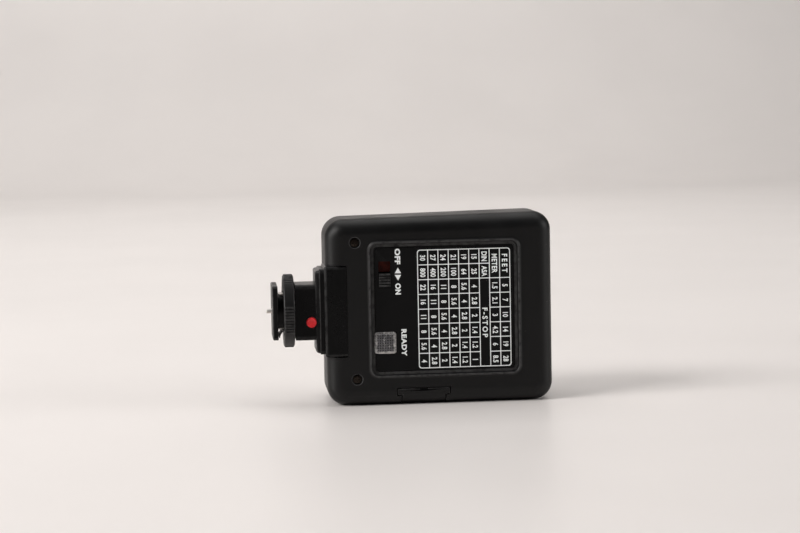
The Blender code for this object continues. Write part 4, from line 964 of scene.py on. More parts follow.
    def deliver(self, thing: bpy.types.Object, name: str, finish: Finish, body: str,
                nodes: Sequence[str] = (), sharp: float = 35.0) -> bpy.types.Object:
        """Bring a finished solid to the row frame and make it part of the flash.

        Args:
            thing: The solid.
            name: Name of the piece.
            finish: What it is made of.
            body: Body that it rides on.
            nodes: Frame nodes that it stands for.
            sharp: Angle in degrees above which an edge stays sharp.

        Returns:
            The piece.
        """
        self.close(thing)
        self.mark_edges(thing)
        self.pick(thing)
        bpy.ops.object.shade_smooth_by_angle(angle=math.radians(sharp))
        self.modify(thing, "WEIGHTED_NORMAL", keep_sharp=True)
        thing.data.transform(Matrix.Translation(CASE_CORNER) @ Matrix.Scale(MM, 4))
        thing.name = name
        thing.data.name = name
        thing.data.materials.clear()
        thing.data.materials.append(finish.material())
        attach(thing, body)
        if nodes:
            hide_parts(*nodes)
        log.info("%s: %d faces", name, len(thing.data.polygons))
        return thing


BENCH = Bench()


def dress(finish: Finish, *nodes: str) -> None:
    """Give frame nodes that stay as they are a finish.

    Args:
        finish: What they are made of.
        nodes: Their names.
    """
    for name in nodes:
        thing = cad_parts[name]
        thing.data.materials.clear()
        thing.data.materials.append(finish.material())
        log.info("%s dressed in %s", name, finish.name)


# Case


@dataclass
class Case:
    """Two covers, their screws and the sliding battery door."""

    length: float = 78.3
    foot_height: float = 64.2
    taper: float = 1.4
    corner: float = 6.5
    back_fillet: float = 5.5
    front_fillet: float = 3.0
    wall: float = 1.8
    back_wall: float = 2.4
    front_wall: float = 2.0
    seam: Step = (18.35, 18.65)
    band_end: float = 23.0
    draft: float = math.tan(math.radians(5.0))
    depth: float = 36.0
    middle_z: float = 32.85
    recess: Place = (40.7, 0.0, 33.15)
    recess_size: Place = (51.4, 0.0, 46.0)
    recess_corner: float = 2.7
    lip_reach: float = 1.05
    lip_inner: float = 0.3
    lip_height: float = 0.48
    seat_inset: float = 1.5
    seat_y: float = 1.4
    screw_places: tuple[Step, ...] = ((10.1, 9.35), (10.1, 56.35))
    screw_head: float = 1.5
    door_x: float = 33.0
    door_half: float = 7.45
    flange_reach: float = 1.5
    rail_top: float = 3.2
    flange: Step = (3.5, 5.7)
    door_end: float = 33.4
    boss_radius: float = 3.2
    rail_width: float = 2.8
    saddle: Step = (7.1, 15.7)
    saddle_corner: float = 1.2
    window: Step = (25.0, 45.0)
    window_corner: float = 3.05
    edge_round: float = 0.25
    seam_round: float = 0.18
    screw_profile: tuple[Step, ...] = ((-24.9, 0.2), (-24.0, 1.0), (-1.8, 1.0), (-1.8, 1.5), (-0.98, 1.5),
                                       (-0.8, 1.4), (-0.7, 1.1), (-0.66, 0.6))
    cross: Step = (0.95, 0.24)
    skin: float = 0.12
    pocket: Place = (7.39, 3.5, 31.9)
    pocket_depth: float = 1.3
    notch: Step = (1.45, 1.2)
    notch_depth: float = 0.8
    gap: float = 0.3
    play: float = 0.12

    def build(self) -> None:
        """Make every piece of the case."""
        self.rear_cover()
        self.front_cover()
        for name, place in zip(("lower", "upper"), self.screw_places):
            self.screw(name, place)
        self.door()
        dress(NICKEL, "door_bridge_contact", "cell_contact_plate", "cell_contact_spring")
        dress(CHAMBER_GREY, "battery_chamber")

    def solid(self, name: str, facing: Facing, start: float, inset: float, moves: Sequence[Step],
              steps: int = 12) -> bpy.types.Object:
        """Solid through the case's outline.

        Args:
            name: Name of the object.
            facing: Way it is pulled.
            start: Y where it starts.
            inset: How far inside the case's outline it starts.
            moves: Moves of its cap.
            steps: Facets in each corner.

        Returns:
            The solid.
        """
        centre = (self.length / 2, start, self.foot_height / 2)
        size = (self.length - 2 * inset, 0.0, self.foot_height - 2 * inset)
        thing = BENCH.plate(name, facing, centre, size)
        BENCH.choose(thing, "verts", lambda v: v.co.x > centre[0] and v.co.z > centre[2])
        bpy.ops.transform.translate(value=(0.0, 0.0, self.taper))
        bpy.ops.mesh.select_all(action="SELECT")
        bpy.ops.mesh.bevel(offset=self.corner - inset, segments=steps, affect="VERTICES")
        bpy.ops.mesh.select_all(action="SELECT")
        BENCH.pull(facing, moves)
        BENCH.clear()
        return thing

    def back_moves(self, start: float, face: float, offset: float, steps: int) -> list[Step]:
        """Moves from a start down to the back face, round its fillet."""
        radius = self.back_fillet - offset
        return [(start - face - radius, 0.0)] + fillet(radius, steps)

    def front_moves(self, start: float, face: float, offset: float, steps: int) -> list[Step]:
        """Moves from a start up to the front face, along the draft and round its fillet.

        Args:
            start: Y where they start.
            face: Y of the front face.
            offset: How far inside the outside they run.
            steps: Facets of the fillet.

        Returns:
            The moves.
        """
        radius = self.front_fillet - offset / 2
        rise = face - radius - self.band_end
        return [(self.band_end - start, 0.0), (rise, rise * self.draft)] + fillet(radius, steps)

    def ease_seam(self, thing: bpy.types.Object, seam: float) -> None:
        """Round off the outer edge at the seam.

        Args:
            thing: The object.
            seam: Y of the seam.
        """
        BENCH.edit(thing, "EDGE")
        BENCH.choose(thing, "edges", lambda e: all(abs(v.co.y - seam) < 0.001 for v in e.verts))
        bpy.ops.mesh.bevel(offset=self.seam_round, segments=2, affect="EDGES")
        BENCH.clear()

    def bosses(self, low: float, high: float) -> list[bpy.types.Object]:
        """Screw bosses between two values of y."""
        return [BENCH.round("boss", Facing.FRONT, (x, low, z), [(high - low, 0.0)], self.boss_radius, 32)
                for x, z in self.screw_places]

    def rails(self, low: float, high: float) -> list[bpy.types.Object]:
        """Rails that the door's flange runs on, between two values of y.

        Args:
            low: Lowest y.
            high: Highest y.

        Returns:
            The rails.
        """
        inner, outer = self.door_half - self.gap, self.door_half + self.gap + self.rail_width
        spans = ((self.door_x - outer, self.door_x - inner), (self.door_x + inner, self.door_x + outer))
        root = self.wall - 2 * self.gap
        return [BENCH.bar("rail", (left, low, root), (right, high, self.rail_top)) for left, right in spans]

    def cut_door_way(self, thing: bpy.types.Object) -> None:
        """Take away what the battery door runs in.

        Args:
            thing: The object.
        """
        x, end = self.door_x, self.door_end + self.gap
        plate = self.door_half + self.gap
        wide = plate + self.flange_reach
        ways = ((plate, -OVERCUT, self.rail_top + 0.1), (wide, self.rail_top, self.flange[1] + self.gap))
        for half, low, high in ways:
            tool = BENCH.bar("way", (x - half, -OVERCUT, low), (x + half, end, high))
            BENCH.combine(thing, "DIFFERENCE", [tool])

    def rear_cover(self) -> None:
        """Back half, with the lipped recess of the panel."""
        seam = self.seam[0]
        cover = self.solid("rear", Facing.BACK, seam, 0.0, self.back_moves(seam, 0.0, 0.0, 14))
        self.ease_seam(cover, seam)
        inner = self.solid("inner", Facing.BACK, seam + OVERCUT, self.wall,
                           self.back_moves(seam + OVERCUT, self.back_wall, self.wall, 6), 6)
        BENCH.combine(cover, "DIFFERENCE", [inner])
        root, end = self.back_wall - 0.5, seam - 0.1
        BENCH.combine(cover, "UNION", self.bosses(root, end) + self.rails(root, end))
        BENCH.combine(cover, "UNION", [self.lip()])
        BENCH.combine(cover, "DIFFERENCE", [self.recess_tool()])
        BENCH.combine(cover, "DIFFERENCE", Panel.openings(self.gap))
        depth, half = (reach + self.play for reach in self.saddle)
        notch = BENCH.bar("notch", (-8.0, -OVERCUT, self.middle_z - half),
                          (depth, seam + OVERCUT, self.middle_z + half), self.saddle_corner)
        BENCH.combine(cover, "DIFFERENCE", [notch])
        for x, z in self.screw_places:
            mouth = self.screw_head + self.gap
            shank = [(1.85, 0.0), (0.0, mouth - 1.3), (seam, 0.0)]
            moves = [(OVERCUT, 0.0)] + rim(self.edge_round, 3) + shank
            tool = BENCH.round("counterbore", Facing.FRONT, (x, -OVERCUT, z), moves,
                               mouth + self.edge_round, 40)
            BENCH.combine(cover, "DIFFERENCE", [tool])
        self.cut_door_way(cover)
        BENCH.deliver(cover, "rear_case", CASE_BLACK, ROOT, ["rear_cover"])

    def lip(self) -> bpy.types.Object:
        """Low rounded bead that stands round the recess.

        Returns:
            The bead.
        """
        size = [span + 2 * self.lip_reach if span else 0.0 for span in self.recess_size]
        start = 0.4
        steps = 8
        swell = [(1.0 - math.cos(math.pi * step / steps)) / 2 * self.lip_height for step in range(steps + 1)]
        flank = [(upper - lower, self.lip_reach / steps) for lower, upper in zip(swell, swell[1:])]
        return BENCH.block("lip", Facing.BACK, (self.recess[0], start, self.recess[2]), tuple(size),
                           [(start, 0.0)] + flank, self.recess_corner + self.lip_reach, 12)

    def recess_tool(self) -> bpy.types.Object:
        """What the recess takes away: a rounded mouth, a slope and the seat of the plate.

        Returns:
            The tool.
        """
        top = -self.lip_height
        mouth = self.lip_inner
        slope_end, slope_run, ledge_drop = 0.75, 0.25, 0.05
        moves = [(OVERCUT, 0.0)] + rim(mouth, 6) + [(slope_end - top - mouth, slope_run),
                                                    (ledge_drop, self.seat_inset - mouth - slope_run),
                                                    (self.seat_y - slope_end - ledge_drop, 0.0)]
        return BENCH.block("recess", Facing.FRONT, (self.recess[0], top - OVERCUT, self.recess[2]),
                           self.recess_size, moves, self.recess_corner, 10)

    def front_cover(self) -> None:
        """Front half, with the window's opening."""
        seam = self.seam[1]
        cover = self.solid("front", Facing.FRONT, seam, 0.0, self.front_moves(seam, self.depth, 0.0, 10))
        self.ease_seam(cover, seam)
        inner = self.solid("inner", Facing.FRONT, seam - OVERCUT, self.wall,
                           self.front_moves(seam - OVERCUT, self.depth - self.front_wall, self.wall, 5), 6)
        BENCH.combine(cover, "DIFFERENCE", [inner])
        inside = self.depth - self.front_wall + 0.5
        BENCH.combine(cover, "UNION", self.bosses(seam + 0.1, inside) + self.rails(seam + 0.1, inside))
        low, high = node_box("window_lens")
        wide, tall = (span + 2 * (self.gap + self.edge_round) for span in self.window)
        centre = ((low.x + high.x) / 2, self.depth + OVERCUT, (low.z + high.z) / 2)
        tool = BENCH.block("opening", Facing.BACK, centre, (wide, 0.0, tall),
                           [(OVERCUT, 0.0)] + rim(self.edge_round, 3) + [(4.0, 0.0)], self.window_corner)
        BENCH.combine(cover, "DIFFERENCE", [tool])
        self.cut_door_way(cover)
        BENCH.deliver(cover, "front_case", CASE_BLACK, ROOT, ["front_cover"])

    def screw(self, name: str, place: Step) -> None:
        """Sunk cross-head screw of the case.

        Args:
            name: Which screw.
            place: Its x and z.
        """
        x, z = place
        screw = BENCH.turned("screw", Facing.BACK, (x, 0.0, z), self.screw_profile, 40)
        for half_x, half_z in (self.cross, self.cross[::-1]):
            cut = BENCH.block("cross", Facing.FRONT, (x, 0.2, z), (2 * half_x, 0.0, 2 * half_z),
                              [(0.5, 0.0), (0.55, 0.1)])
            BENCH.combine(screw, "DIFFERENCE", [cut])
        node = f"case_screw_{name}"
        BENCH.deliver(screw, f"{node}_head", BROWN_STEEL, ROOT, [node])

    def door(self) -> None:
        """Sliding door whose outside follows the case, with its T-shaped end in the back."""
        skin, middle = self.skin, self.seam[0]
        start = middle + 0.5
        shape = self.solid("skin", Facing.BACK, start, skin, self.back_moves(start, skin, skin, 14))
        ahead = self.solid("ahead", Facing.FRONT, middle, skin,
                           self.front_moves(middle, self.depth - skin, skin, 10))
        BENCH.combine(shape, "UNION", [ahead])
        x, end = self.door_x, self.door_end
        half, wide = self.door_half, self.door_half + self.flange_reach
        bottom, top = self.flange
        door = BENCH.bar("door", (x - half, -OVERCUT, -OVERCUT), (x + half, end, 4.5))
        flange = BENCH.bar("flange", (x - wide, -OVERCUT, bottom), (x + wide, end, top))
        BENCH.combine(door, "UNION", [flange])
        BENCH.combine(door, "INTERSECT", [shape])
        half, start, end = self.pocket
        pocket = BENCH.bar("pocket", (x - half, start, top - self.pocket_depth),
                           (x + half, end, top + OVERCUT), 0.8)
        BENCH.combine(door, "DIFFERENCE", [pocket])
        half, end = self.notch
        notch = BENCH.bar("notch", (x - half, -OVERCUT, top - self.notch_depth),
                          (x + half, end, top + OVERCUT))
        BENCH.combine(door, "DIFFERENCE", [notch])
        BENCH.soften(door, 0.12, 60.0)
        BENCH.deliver(door, "door_slide_plate", CASE_BLACK, "door", ["battery_door"])


# Control panel


@dataclass
class Lettering:
    """Raised print that reads along -Z with its tops towards +X."""

    surface: float
    thickness: float = 0.03
    sink: float = 0.01
    narrow: float = 0.79
    parts: list[bpy.types.Object] = field(default_factory=list)

    @staticmethod
    def _extent(thing: bpy.types.Object) -> tuple[Vector, Vector]:
        """Lowest and highest corner of a mesh."""
        points = [vertex.co for vertex in thing.data.vertices]
        return Vector(map(min, *points)), Vector(map(max, *points))

    def _lay(self, thing: bpy.types.Object, x: float, z: float, width: float, height: float) -> None:
        """Bring flat print to its middle and size on the plate.

        Args:
            thing: The object.
            x: Middle of its height.
            z: Middle of its length.
            width: Its length, or 0 to keep its proportions.
            height: Its height.
        """
        low, high = self._extent(thing)
        middle = (low + high) / 2
        factor = height / (high.y - low.y)
        across = width / (high.x - low.x) if width else factor
        turn = Matrix(((0.0, 1.0, 0.0), (0.0, 0.0, -1.0), (-1.0, 0.0, 0.0))).to_4x4()
        grow = Matrix.Diagonal((across, factor, 1.0, 1.0))
        back = Vector((x, self.surface + self.sink, z))
        thing.data.transform(Matrix.Translation(back) @ turn @ grow
                             @ Matrix.Translation((-middle.x, -middle.y, -low.z)))
        self.parts.append(thing)

    def words(self, text: str, x: float, z: float, height: float, length: float = 0.0, spacing: float = 1.0,
              bold: float = 0.0) -> None:
        """Print a word.

        Args:
            text: The word.
            x: Middle of its height.
            z: Middle of its length.
            height: Height of its capitals.
            length: Its length, or 0 for a condensed natural one.
            spacing: Letter spacing.
            bold: Stroke growth.
        """
        BENCH.clear()
        bpy.ops.object.text_add()
        thing = bpy.context.object
        thing.data.body = text
        thing.data.size = 1.0
        thing.data.offset = bold
        thing.data.resolution_u = 3
        thing.data.space_character = spacing
        thing.data.extrude = self.thickness / 2
        BENCH.pick(thing)
        bpy.ops.object.convert(target="MESH")
        low, high = self._extent(thing)
        natural = height * (high.x - low.x) / (high.y - low.y)
        self._lay(thing, x, z, length or natural * self.narrow, height)

    def triangle(self, x: float, z: float, width: float, length: float, up: bool) -> None:
        """Print a triangle that points to +Z, or to -Z.

        Args:
            x: Middle of its width.
            z: Middle of its length.
            width: Its width along X.
            length: Its length along Z.
            up: Whether it points to +Z.
        """
        tool = BENCH.disc("triangle", Facing.UP, (0.0, 0.0, 0.0), 1.0, 3)
        BENCH.pull(Facing.UP, [(self.thickness, 0.0)])
        BENCH.clear()
        turn = RIGHT_ANGLE if up else -RIGHT_ANGLE
        tool.data.transform(Matrix.Rotation(turn, 4, "Z"))
        self._lay(tool, x, z, length, width)

    def grid(self, low: Step, high: Step, cells: tuple[int, int], line: float,
             merged: Sequence[tuple[int, int, int]], corner: float) -> None:
        """Print the lines of the table.

        Args:
            low: Lowest x and z of the middle of its outer lines.
            high: Highest x and z.
            cells: Number of cells along x and along z.
            line: Width of a line.
            merged: Joined cells: their row from the lowest x, and the first and last cell from -Z.
            corner: Radius of its corners.
        """
        BENCH.clear()
        bpy.ops.mesh.primitive_grid_add(x_subdivisions=cells[0], y_subdivisions=cells[1], size=1.0)
        thing = bpy.context.object
        span = (high[0] - low[0], high[1] - low[1])
        pitch = (span[0] / cells[0], span[1] / cells[1])
        centre = ((low[0] + high[0]) / 2, self.surface - self.thickness, (low[1] + high[1]) / 2)
        thing.matrix_world = (Matrix.Translation(centre) @ Facing.BACK.turn()
                              @ Matrix.Diagonal((span[0], span[1], 1.0, 1.0)))
        bpy.ops.object.transform_apply(location=True, rotation=True, scale=True)
        BENCH.edit(thing)
        for row, first, last in merged:
            left, right = low[0] + row * pitch[0], low[0] + (row + 1) * pitch[0]
            bottom, top = low[1] + first * pitch[1], low[1] + (last + 1) * pitch[1]

            def inside(edge: Any) -> bool:
                """Whether an edge crosses the joined cells."""
                x, _, z = (edge.verts[0].co + edge.verts[1].co) / 2
                return left + 0.1 < x < right - 0.1 and bottom + 0.1 < z < top - 0.1

            if BENCH.choose(thing, "edges", inside):
                bpy.ops.mesh.dissolve_edges(use_verts=False)
        ends = (low, high)
        BENCH.choose(thing, "verts", lambda v: any(abs(v.co.x - e[0]) < 0.01 for e in ends)
                     and any(abs(v.co.z - e[1]) < 0.01 for e in ends))
        bpy.ops.mesh.bevel(offset=corner, segments=6, affect="VERTICES")
        bpy.ops.mesh.select_mode(type="FACE")
        bpy.ops.mesh.select_all(action="SELECT")
        bpy.ops.mesh.inset(thickness=line / 2, depth=0.0, use_individual=True)
        bpy.ops.mesh.delete(type="FACE")
        BENCH.edit(thing, "EDGE")
        bpy.ops.mesh.select_all(action="DESELECT")
        bpy.ops.mesh.select_non_manifold(extend=False, use_wire=False, use_multi_face=False,
                                         use_non_contiguous=False, use_verts=False)
        outline = bmesh.from_edit_mesh(thing.data)
        reach = line / 2 + 0.001
        for edge in outline.edges:
            if edge.select and all(self._well_inside(v.co, low, high, reach, corner) for v in edge.verts):
                edge.select_set(False)
        bmesh.update_edit_mesh(thing.data)
        bpy.ops.mesh.extrude_edges_move(TRANSFORM_OT_translate={"value": (0.0, 0.0, 0.0)})
        grow = ((span[0] + line) / span[0], 1.0, (span[1] + line) / span[1])
        bpy.ops.transform.resize(value=grow, center_override=centre)
        BENCH.clear()
        BENCH.modify(thing, "SOLIDIFY", thickness=self.thickness + self.sink, offset=-1.0)
        self.parts.append(thing)

    @staticmethod
    def _well_inside(point: Vector, low: Step, high: Step, reach: float, corner: float) -> bool:
        """Whether a point lies inside the table's outer line.

        Args:
            point: The point.
            low: Lowest x and z of the line.
            high: Highest x and z.
            reach: Width that still counts as the line.
            corner: Radius of the line's corners.

        Returns:
            Whether it does.
        """
        dx = min(point.x - low[0], high[0] - point.x)
        dz = min(point.z - low[1], high[1] - point.z)
        if dx < corner and dz < corner:
            return math.hypot(corner - dx, corner - dz) < corner - reach / 2
        return min(dx, dz) > reach / 2

    def finish(self) -> None:
        """Make one piece of all the print."""
        print_mesh = BENCH.join(self.parts)
        BENCH.deliver(print_mesh, "panel_print", PRINT_WHITE, ROOT)


@dataclass
class Panel:
    """Label plate with its print, slide switch and ready lamp."""

    centre: Place = (40.7, 1.1, 33.15)
    size: Place = (47.8, 0.0, 42.4)
    surface: float = 0.6
    switch: Step = (20.2, 45.25)
    lamp: Step = (19.95, 21.65)
    table_low: Step = (31.55, 12.6)
    table_high: Step = (63.4, 53.25)
    cells: tuple[int, int] = (9, 8)
    digit: float = 1.88
    digit_drop: float = 0.15
    digit_bold: float = 0.03
    spacing: float = 1.08
    line: float = 0.3
    slot_half: Step = (2.12, 4.42)
    lens_size: float = 7.5
    lens_base: float = 3.2
    dome: tuple[Step, ...] = ((0.17, 0.9), (0.13, 0.86), (0.1, 0.8), (0.06, 0.7), (0.03, 0.5))
    prism: float = 0.86
    prism_pitch: float = 0.92
    knob_size: Step = (4.0, 4.6)
    knob_ribs: int = 5
    rib_pitch: float = 0.95
    words: tuple[tuple[str, float, float, float, float, float, float], ...] = (
        ("OFF", 24.7, 51.3, 1.95, 5.4, 1.1, 0.05),
        ("ON", 24.7, 40.15, 1.95, 3.9, 1.1, 0.05),
        ("READY", 26.45, 21.6, 1.8, 9.3, 1.14, 0.045),
    )
    arrows: tuple[tuple[float, float, float, float, bool], ...] = (
        (24.75, 46.5, 2.2, 1.95, True),
        (24.75, 44.0, 2.2, 1.95, False),
    )
    legends: dict[str, tuple[float, float]] = field(default_factory=lambda: {
        "FEET": (6.4, 1.55), "METER": (6.6, 1.1), "DIN": (3.3, 1.0), "ASA": (3.6, 1.05),
        "F-STOP": (10.3, 1.4)})
    rows: tuple[str, ...] = (
        "FEET:2 5 7 10 14 19 28", "METER:2 1.5 2.1 3 4.2 6 8.5", "DIN ASA F-STOP:6",
        "15 25 4 2.8 2 1.4 1.2 1", "19 64 5.6 4 2.8 2 1.4 1.2", "21 100 8 5.6 4 2.8 2 1.4",
        "24 200 11 8 5.6 4 2.8 2", "27 400 16 11 8 5.6 4 2.8", "30 800 22 16 11 8 5.6 4")

    @staticmethod
    def openings(gap: float) -> list[bpy.types.Object]:
        """Tools for the slot of the switch and the hole of the lamp.

        Args:
            gap: Clearance round the lens.

        Returns:
            The tools.
        """
        panel = Panel()
        x, z = panel.switch
        start, end = -3.0, 4.5
        half_x, half_z = panel.slot_half
        slot = BENCH.bar("slot", (x - half_x, start, z - half_z), (x + half_x, end, z + half_z))
        side = panel.lens_size + gap * 0.8
        x, z = panel.lamp
        hole = BENCH.block("hole", Facing.FRONT, (x, start, z), (side, 0.0, side), [(end - start, 0.0)], 1.12)
        return [slot, hole]

    def build(self) -> None:
        """Make every piece of the panel."""
        self.plate()
        self.printing()
        self.knob()
        self.flag()
        self.lens()
        dress(NEON_GLASS, "ready_lamp")
        dress(NICKEL, "power_switch_body")

    def plate(self) -> None:
        """Thin plate in the recess."""
        plate = BENCH.block("plate", Facing.BACK, self.centre, self.size, [(0.4, 0.0)] + fillet(0.1, 3), 0.9)
        BENCH.combine(plate, "DIFFERENCE", self.openings(0.3))
        BENCH.deliver(plate, "panel_plate", PLATE_BLACK, ROOT, ["label_plate"])

    def printing(self) -> None:
        """Exposure table, switch and lamp legends."""
        ink = Lettering(self.surface)
        merged = []
        pitch_x = (self.table_high[0] - self.table_low[0]) / self.cells[0]
        pitch_z = (self.table_high[1] - self.table_low[1]) / self.cells[1]
        for index, row in enumerate(self.rows):
            x = self.table_high[0] - (index + 0.5) * pitch_x
            column = 0
            for cell in row.split():
                text, _, count = cell.partition(":")
                span = int(count or 1)
                z = self.table_high[1] - (column + span / 2) * pitch_z
                length, spacing = self.legends.get(text, (0.0, self.spacing))
                ink.words(text, x, z - self.digit_drop, self.digit, length, spacing, self.digit_bold)
                if span > 1:
                    last = self.cells[1] - 1 - column
                    merged.append((self.cells[0] - 1 - index, last - span + 1, last))
                column += span
        ink.grid(self.table_low, self.table_high, self.cells, self.line, merged, 1.0)
        for word in self.words:
            ink.words(*word)
        for arrow in self.arrows:
            ink.triangle(*arrow)
        ink.finish()

    def knob(self) -> None:
        """Ribbed slide knob on its base."""
        x = self.switch[0]
        z = self.switch[1] - 2.0
        wide, tall = self.knob_size
        knob = BENCH.block("knob", Facing.BACK, (x, 3.8, z), (wide, 0.0, tall),
                           [(3.25, 0.0)] + fillet(0.12, 2), 0.15, 3)
        first = z - self.rib_pitch * (self.knob_ribs - 1) / 2
        moves = [(0.3, 0.0)] + fillet(0.2, 4)
        ribs = [BENCH.block("rib", Facing.BACK, (x, 0.6, first + self.rib_pitch * step),
                            (wide - 0.1, 0.0, 0.56), moves, 0.24, 3) for step in range(self.knob_ribs)]
        base = BENCH.bar("base", (x - 2.92, 3.4, z - 7.02), (x + 2.92, 4.2, z + 7.02), 0.8)
        peg = BENCH.bar("peg", (x - 0.7, 3.9, z - 0.8), (x + 0.7, 6.0, z + 0.8))
        for tools in (ribs, [base], [peg]):
            BENCH.combine(knob, "UNION", tools)
        BENCH.deliver(knob, "switch_knob", KNOB_BLACK, "knob", ["power_switch_knob"])

    def flag(self) -> None:
        """Red flag that shows in the slot, its red darkened by painted shade."""
        low, high = node_box("switch_flag")
        centre = ((low.x + high.x) / 2, high.y, (low.z + high.z) / 2)
        size = (high.x - low.x, 0.0, high.z - low.z)
        flag = BENCH.block("flag", Facing.BACK, centre, size, [(0.3, 0.0)] + fillet(0.1, 3), 0.8)
        BENCH.deliver(flag, "switch_flag_plate", FLAG_RED_SHADED, "knob", ["switch_flag"])

    def lens(self) -> None:
        """Clear square lens with a low dome and small prisms inside."""
        x, z = self.lamp
        side, base, inside = self.lens_size, self.lens_base, self.lens_base + 0.3
        lens = BENCH.plate("lens", Facing.BACK, (x, base, z), (side, 0.0, side), 1.0, 8)
        BENCH.pull(Facing.BACK, [(2.65, 0.0)] + fillet(0.35, 5))
        y = base - 3.0
        for rise, factor in self.dome:
            y -= rise
            bpy.ops.mesh.extrude_region_move(TRANSFORM_OT_translate={"value": Facing.BACK.out * rise})
            bpy.ops.transform.resize(value=(factor, 1.0, factor), center_override=(x, y, z))
        BENCH.clear()
        flange = BENCH.block("flange", Facing.BACK, (x, inside, z), (side + 2.0, 0.0, side + 2.0),
                             [(0.7, 0.0), (0.1, 0.1)], 1.0)
        BENCH.combine(lens, "UNION", [flange])
        hollow = BENCH.block("hollow", Facing.BACK, (x, inside + OVERCUT, z), (side - 1.0, 0.0, side - 1.0),
                             [(OVERCUT + 2.1, 0.0)], 0.5)
        BENCH.combine(lens, "DIFFERENCE", [hollow])
        prism = BENCH.block("prism", Facing.BACK, (x, 1.6, z), (self.prism, 0.0, self.prism),
                            [(0.2, 0.0), (0.42, 0.4)])
        pitch = self.prism_pitch
        prisms = [BENCH.copy(prism, Matrix.Translation((pitch * column, 0.0, pitch * row)))
                  for column in range(-3, 4) for row in range(-3, 4)]
        bpy.data.objects.remove(prism)
        BENCH.combine(lens, "DIFFERENCE", prisms)
        BENCH.deliver(lens, "lamp_lens", LENS_CLEAR, ROOT, ["ready_lamp_lens"])


# Flash head


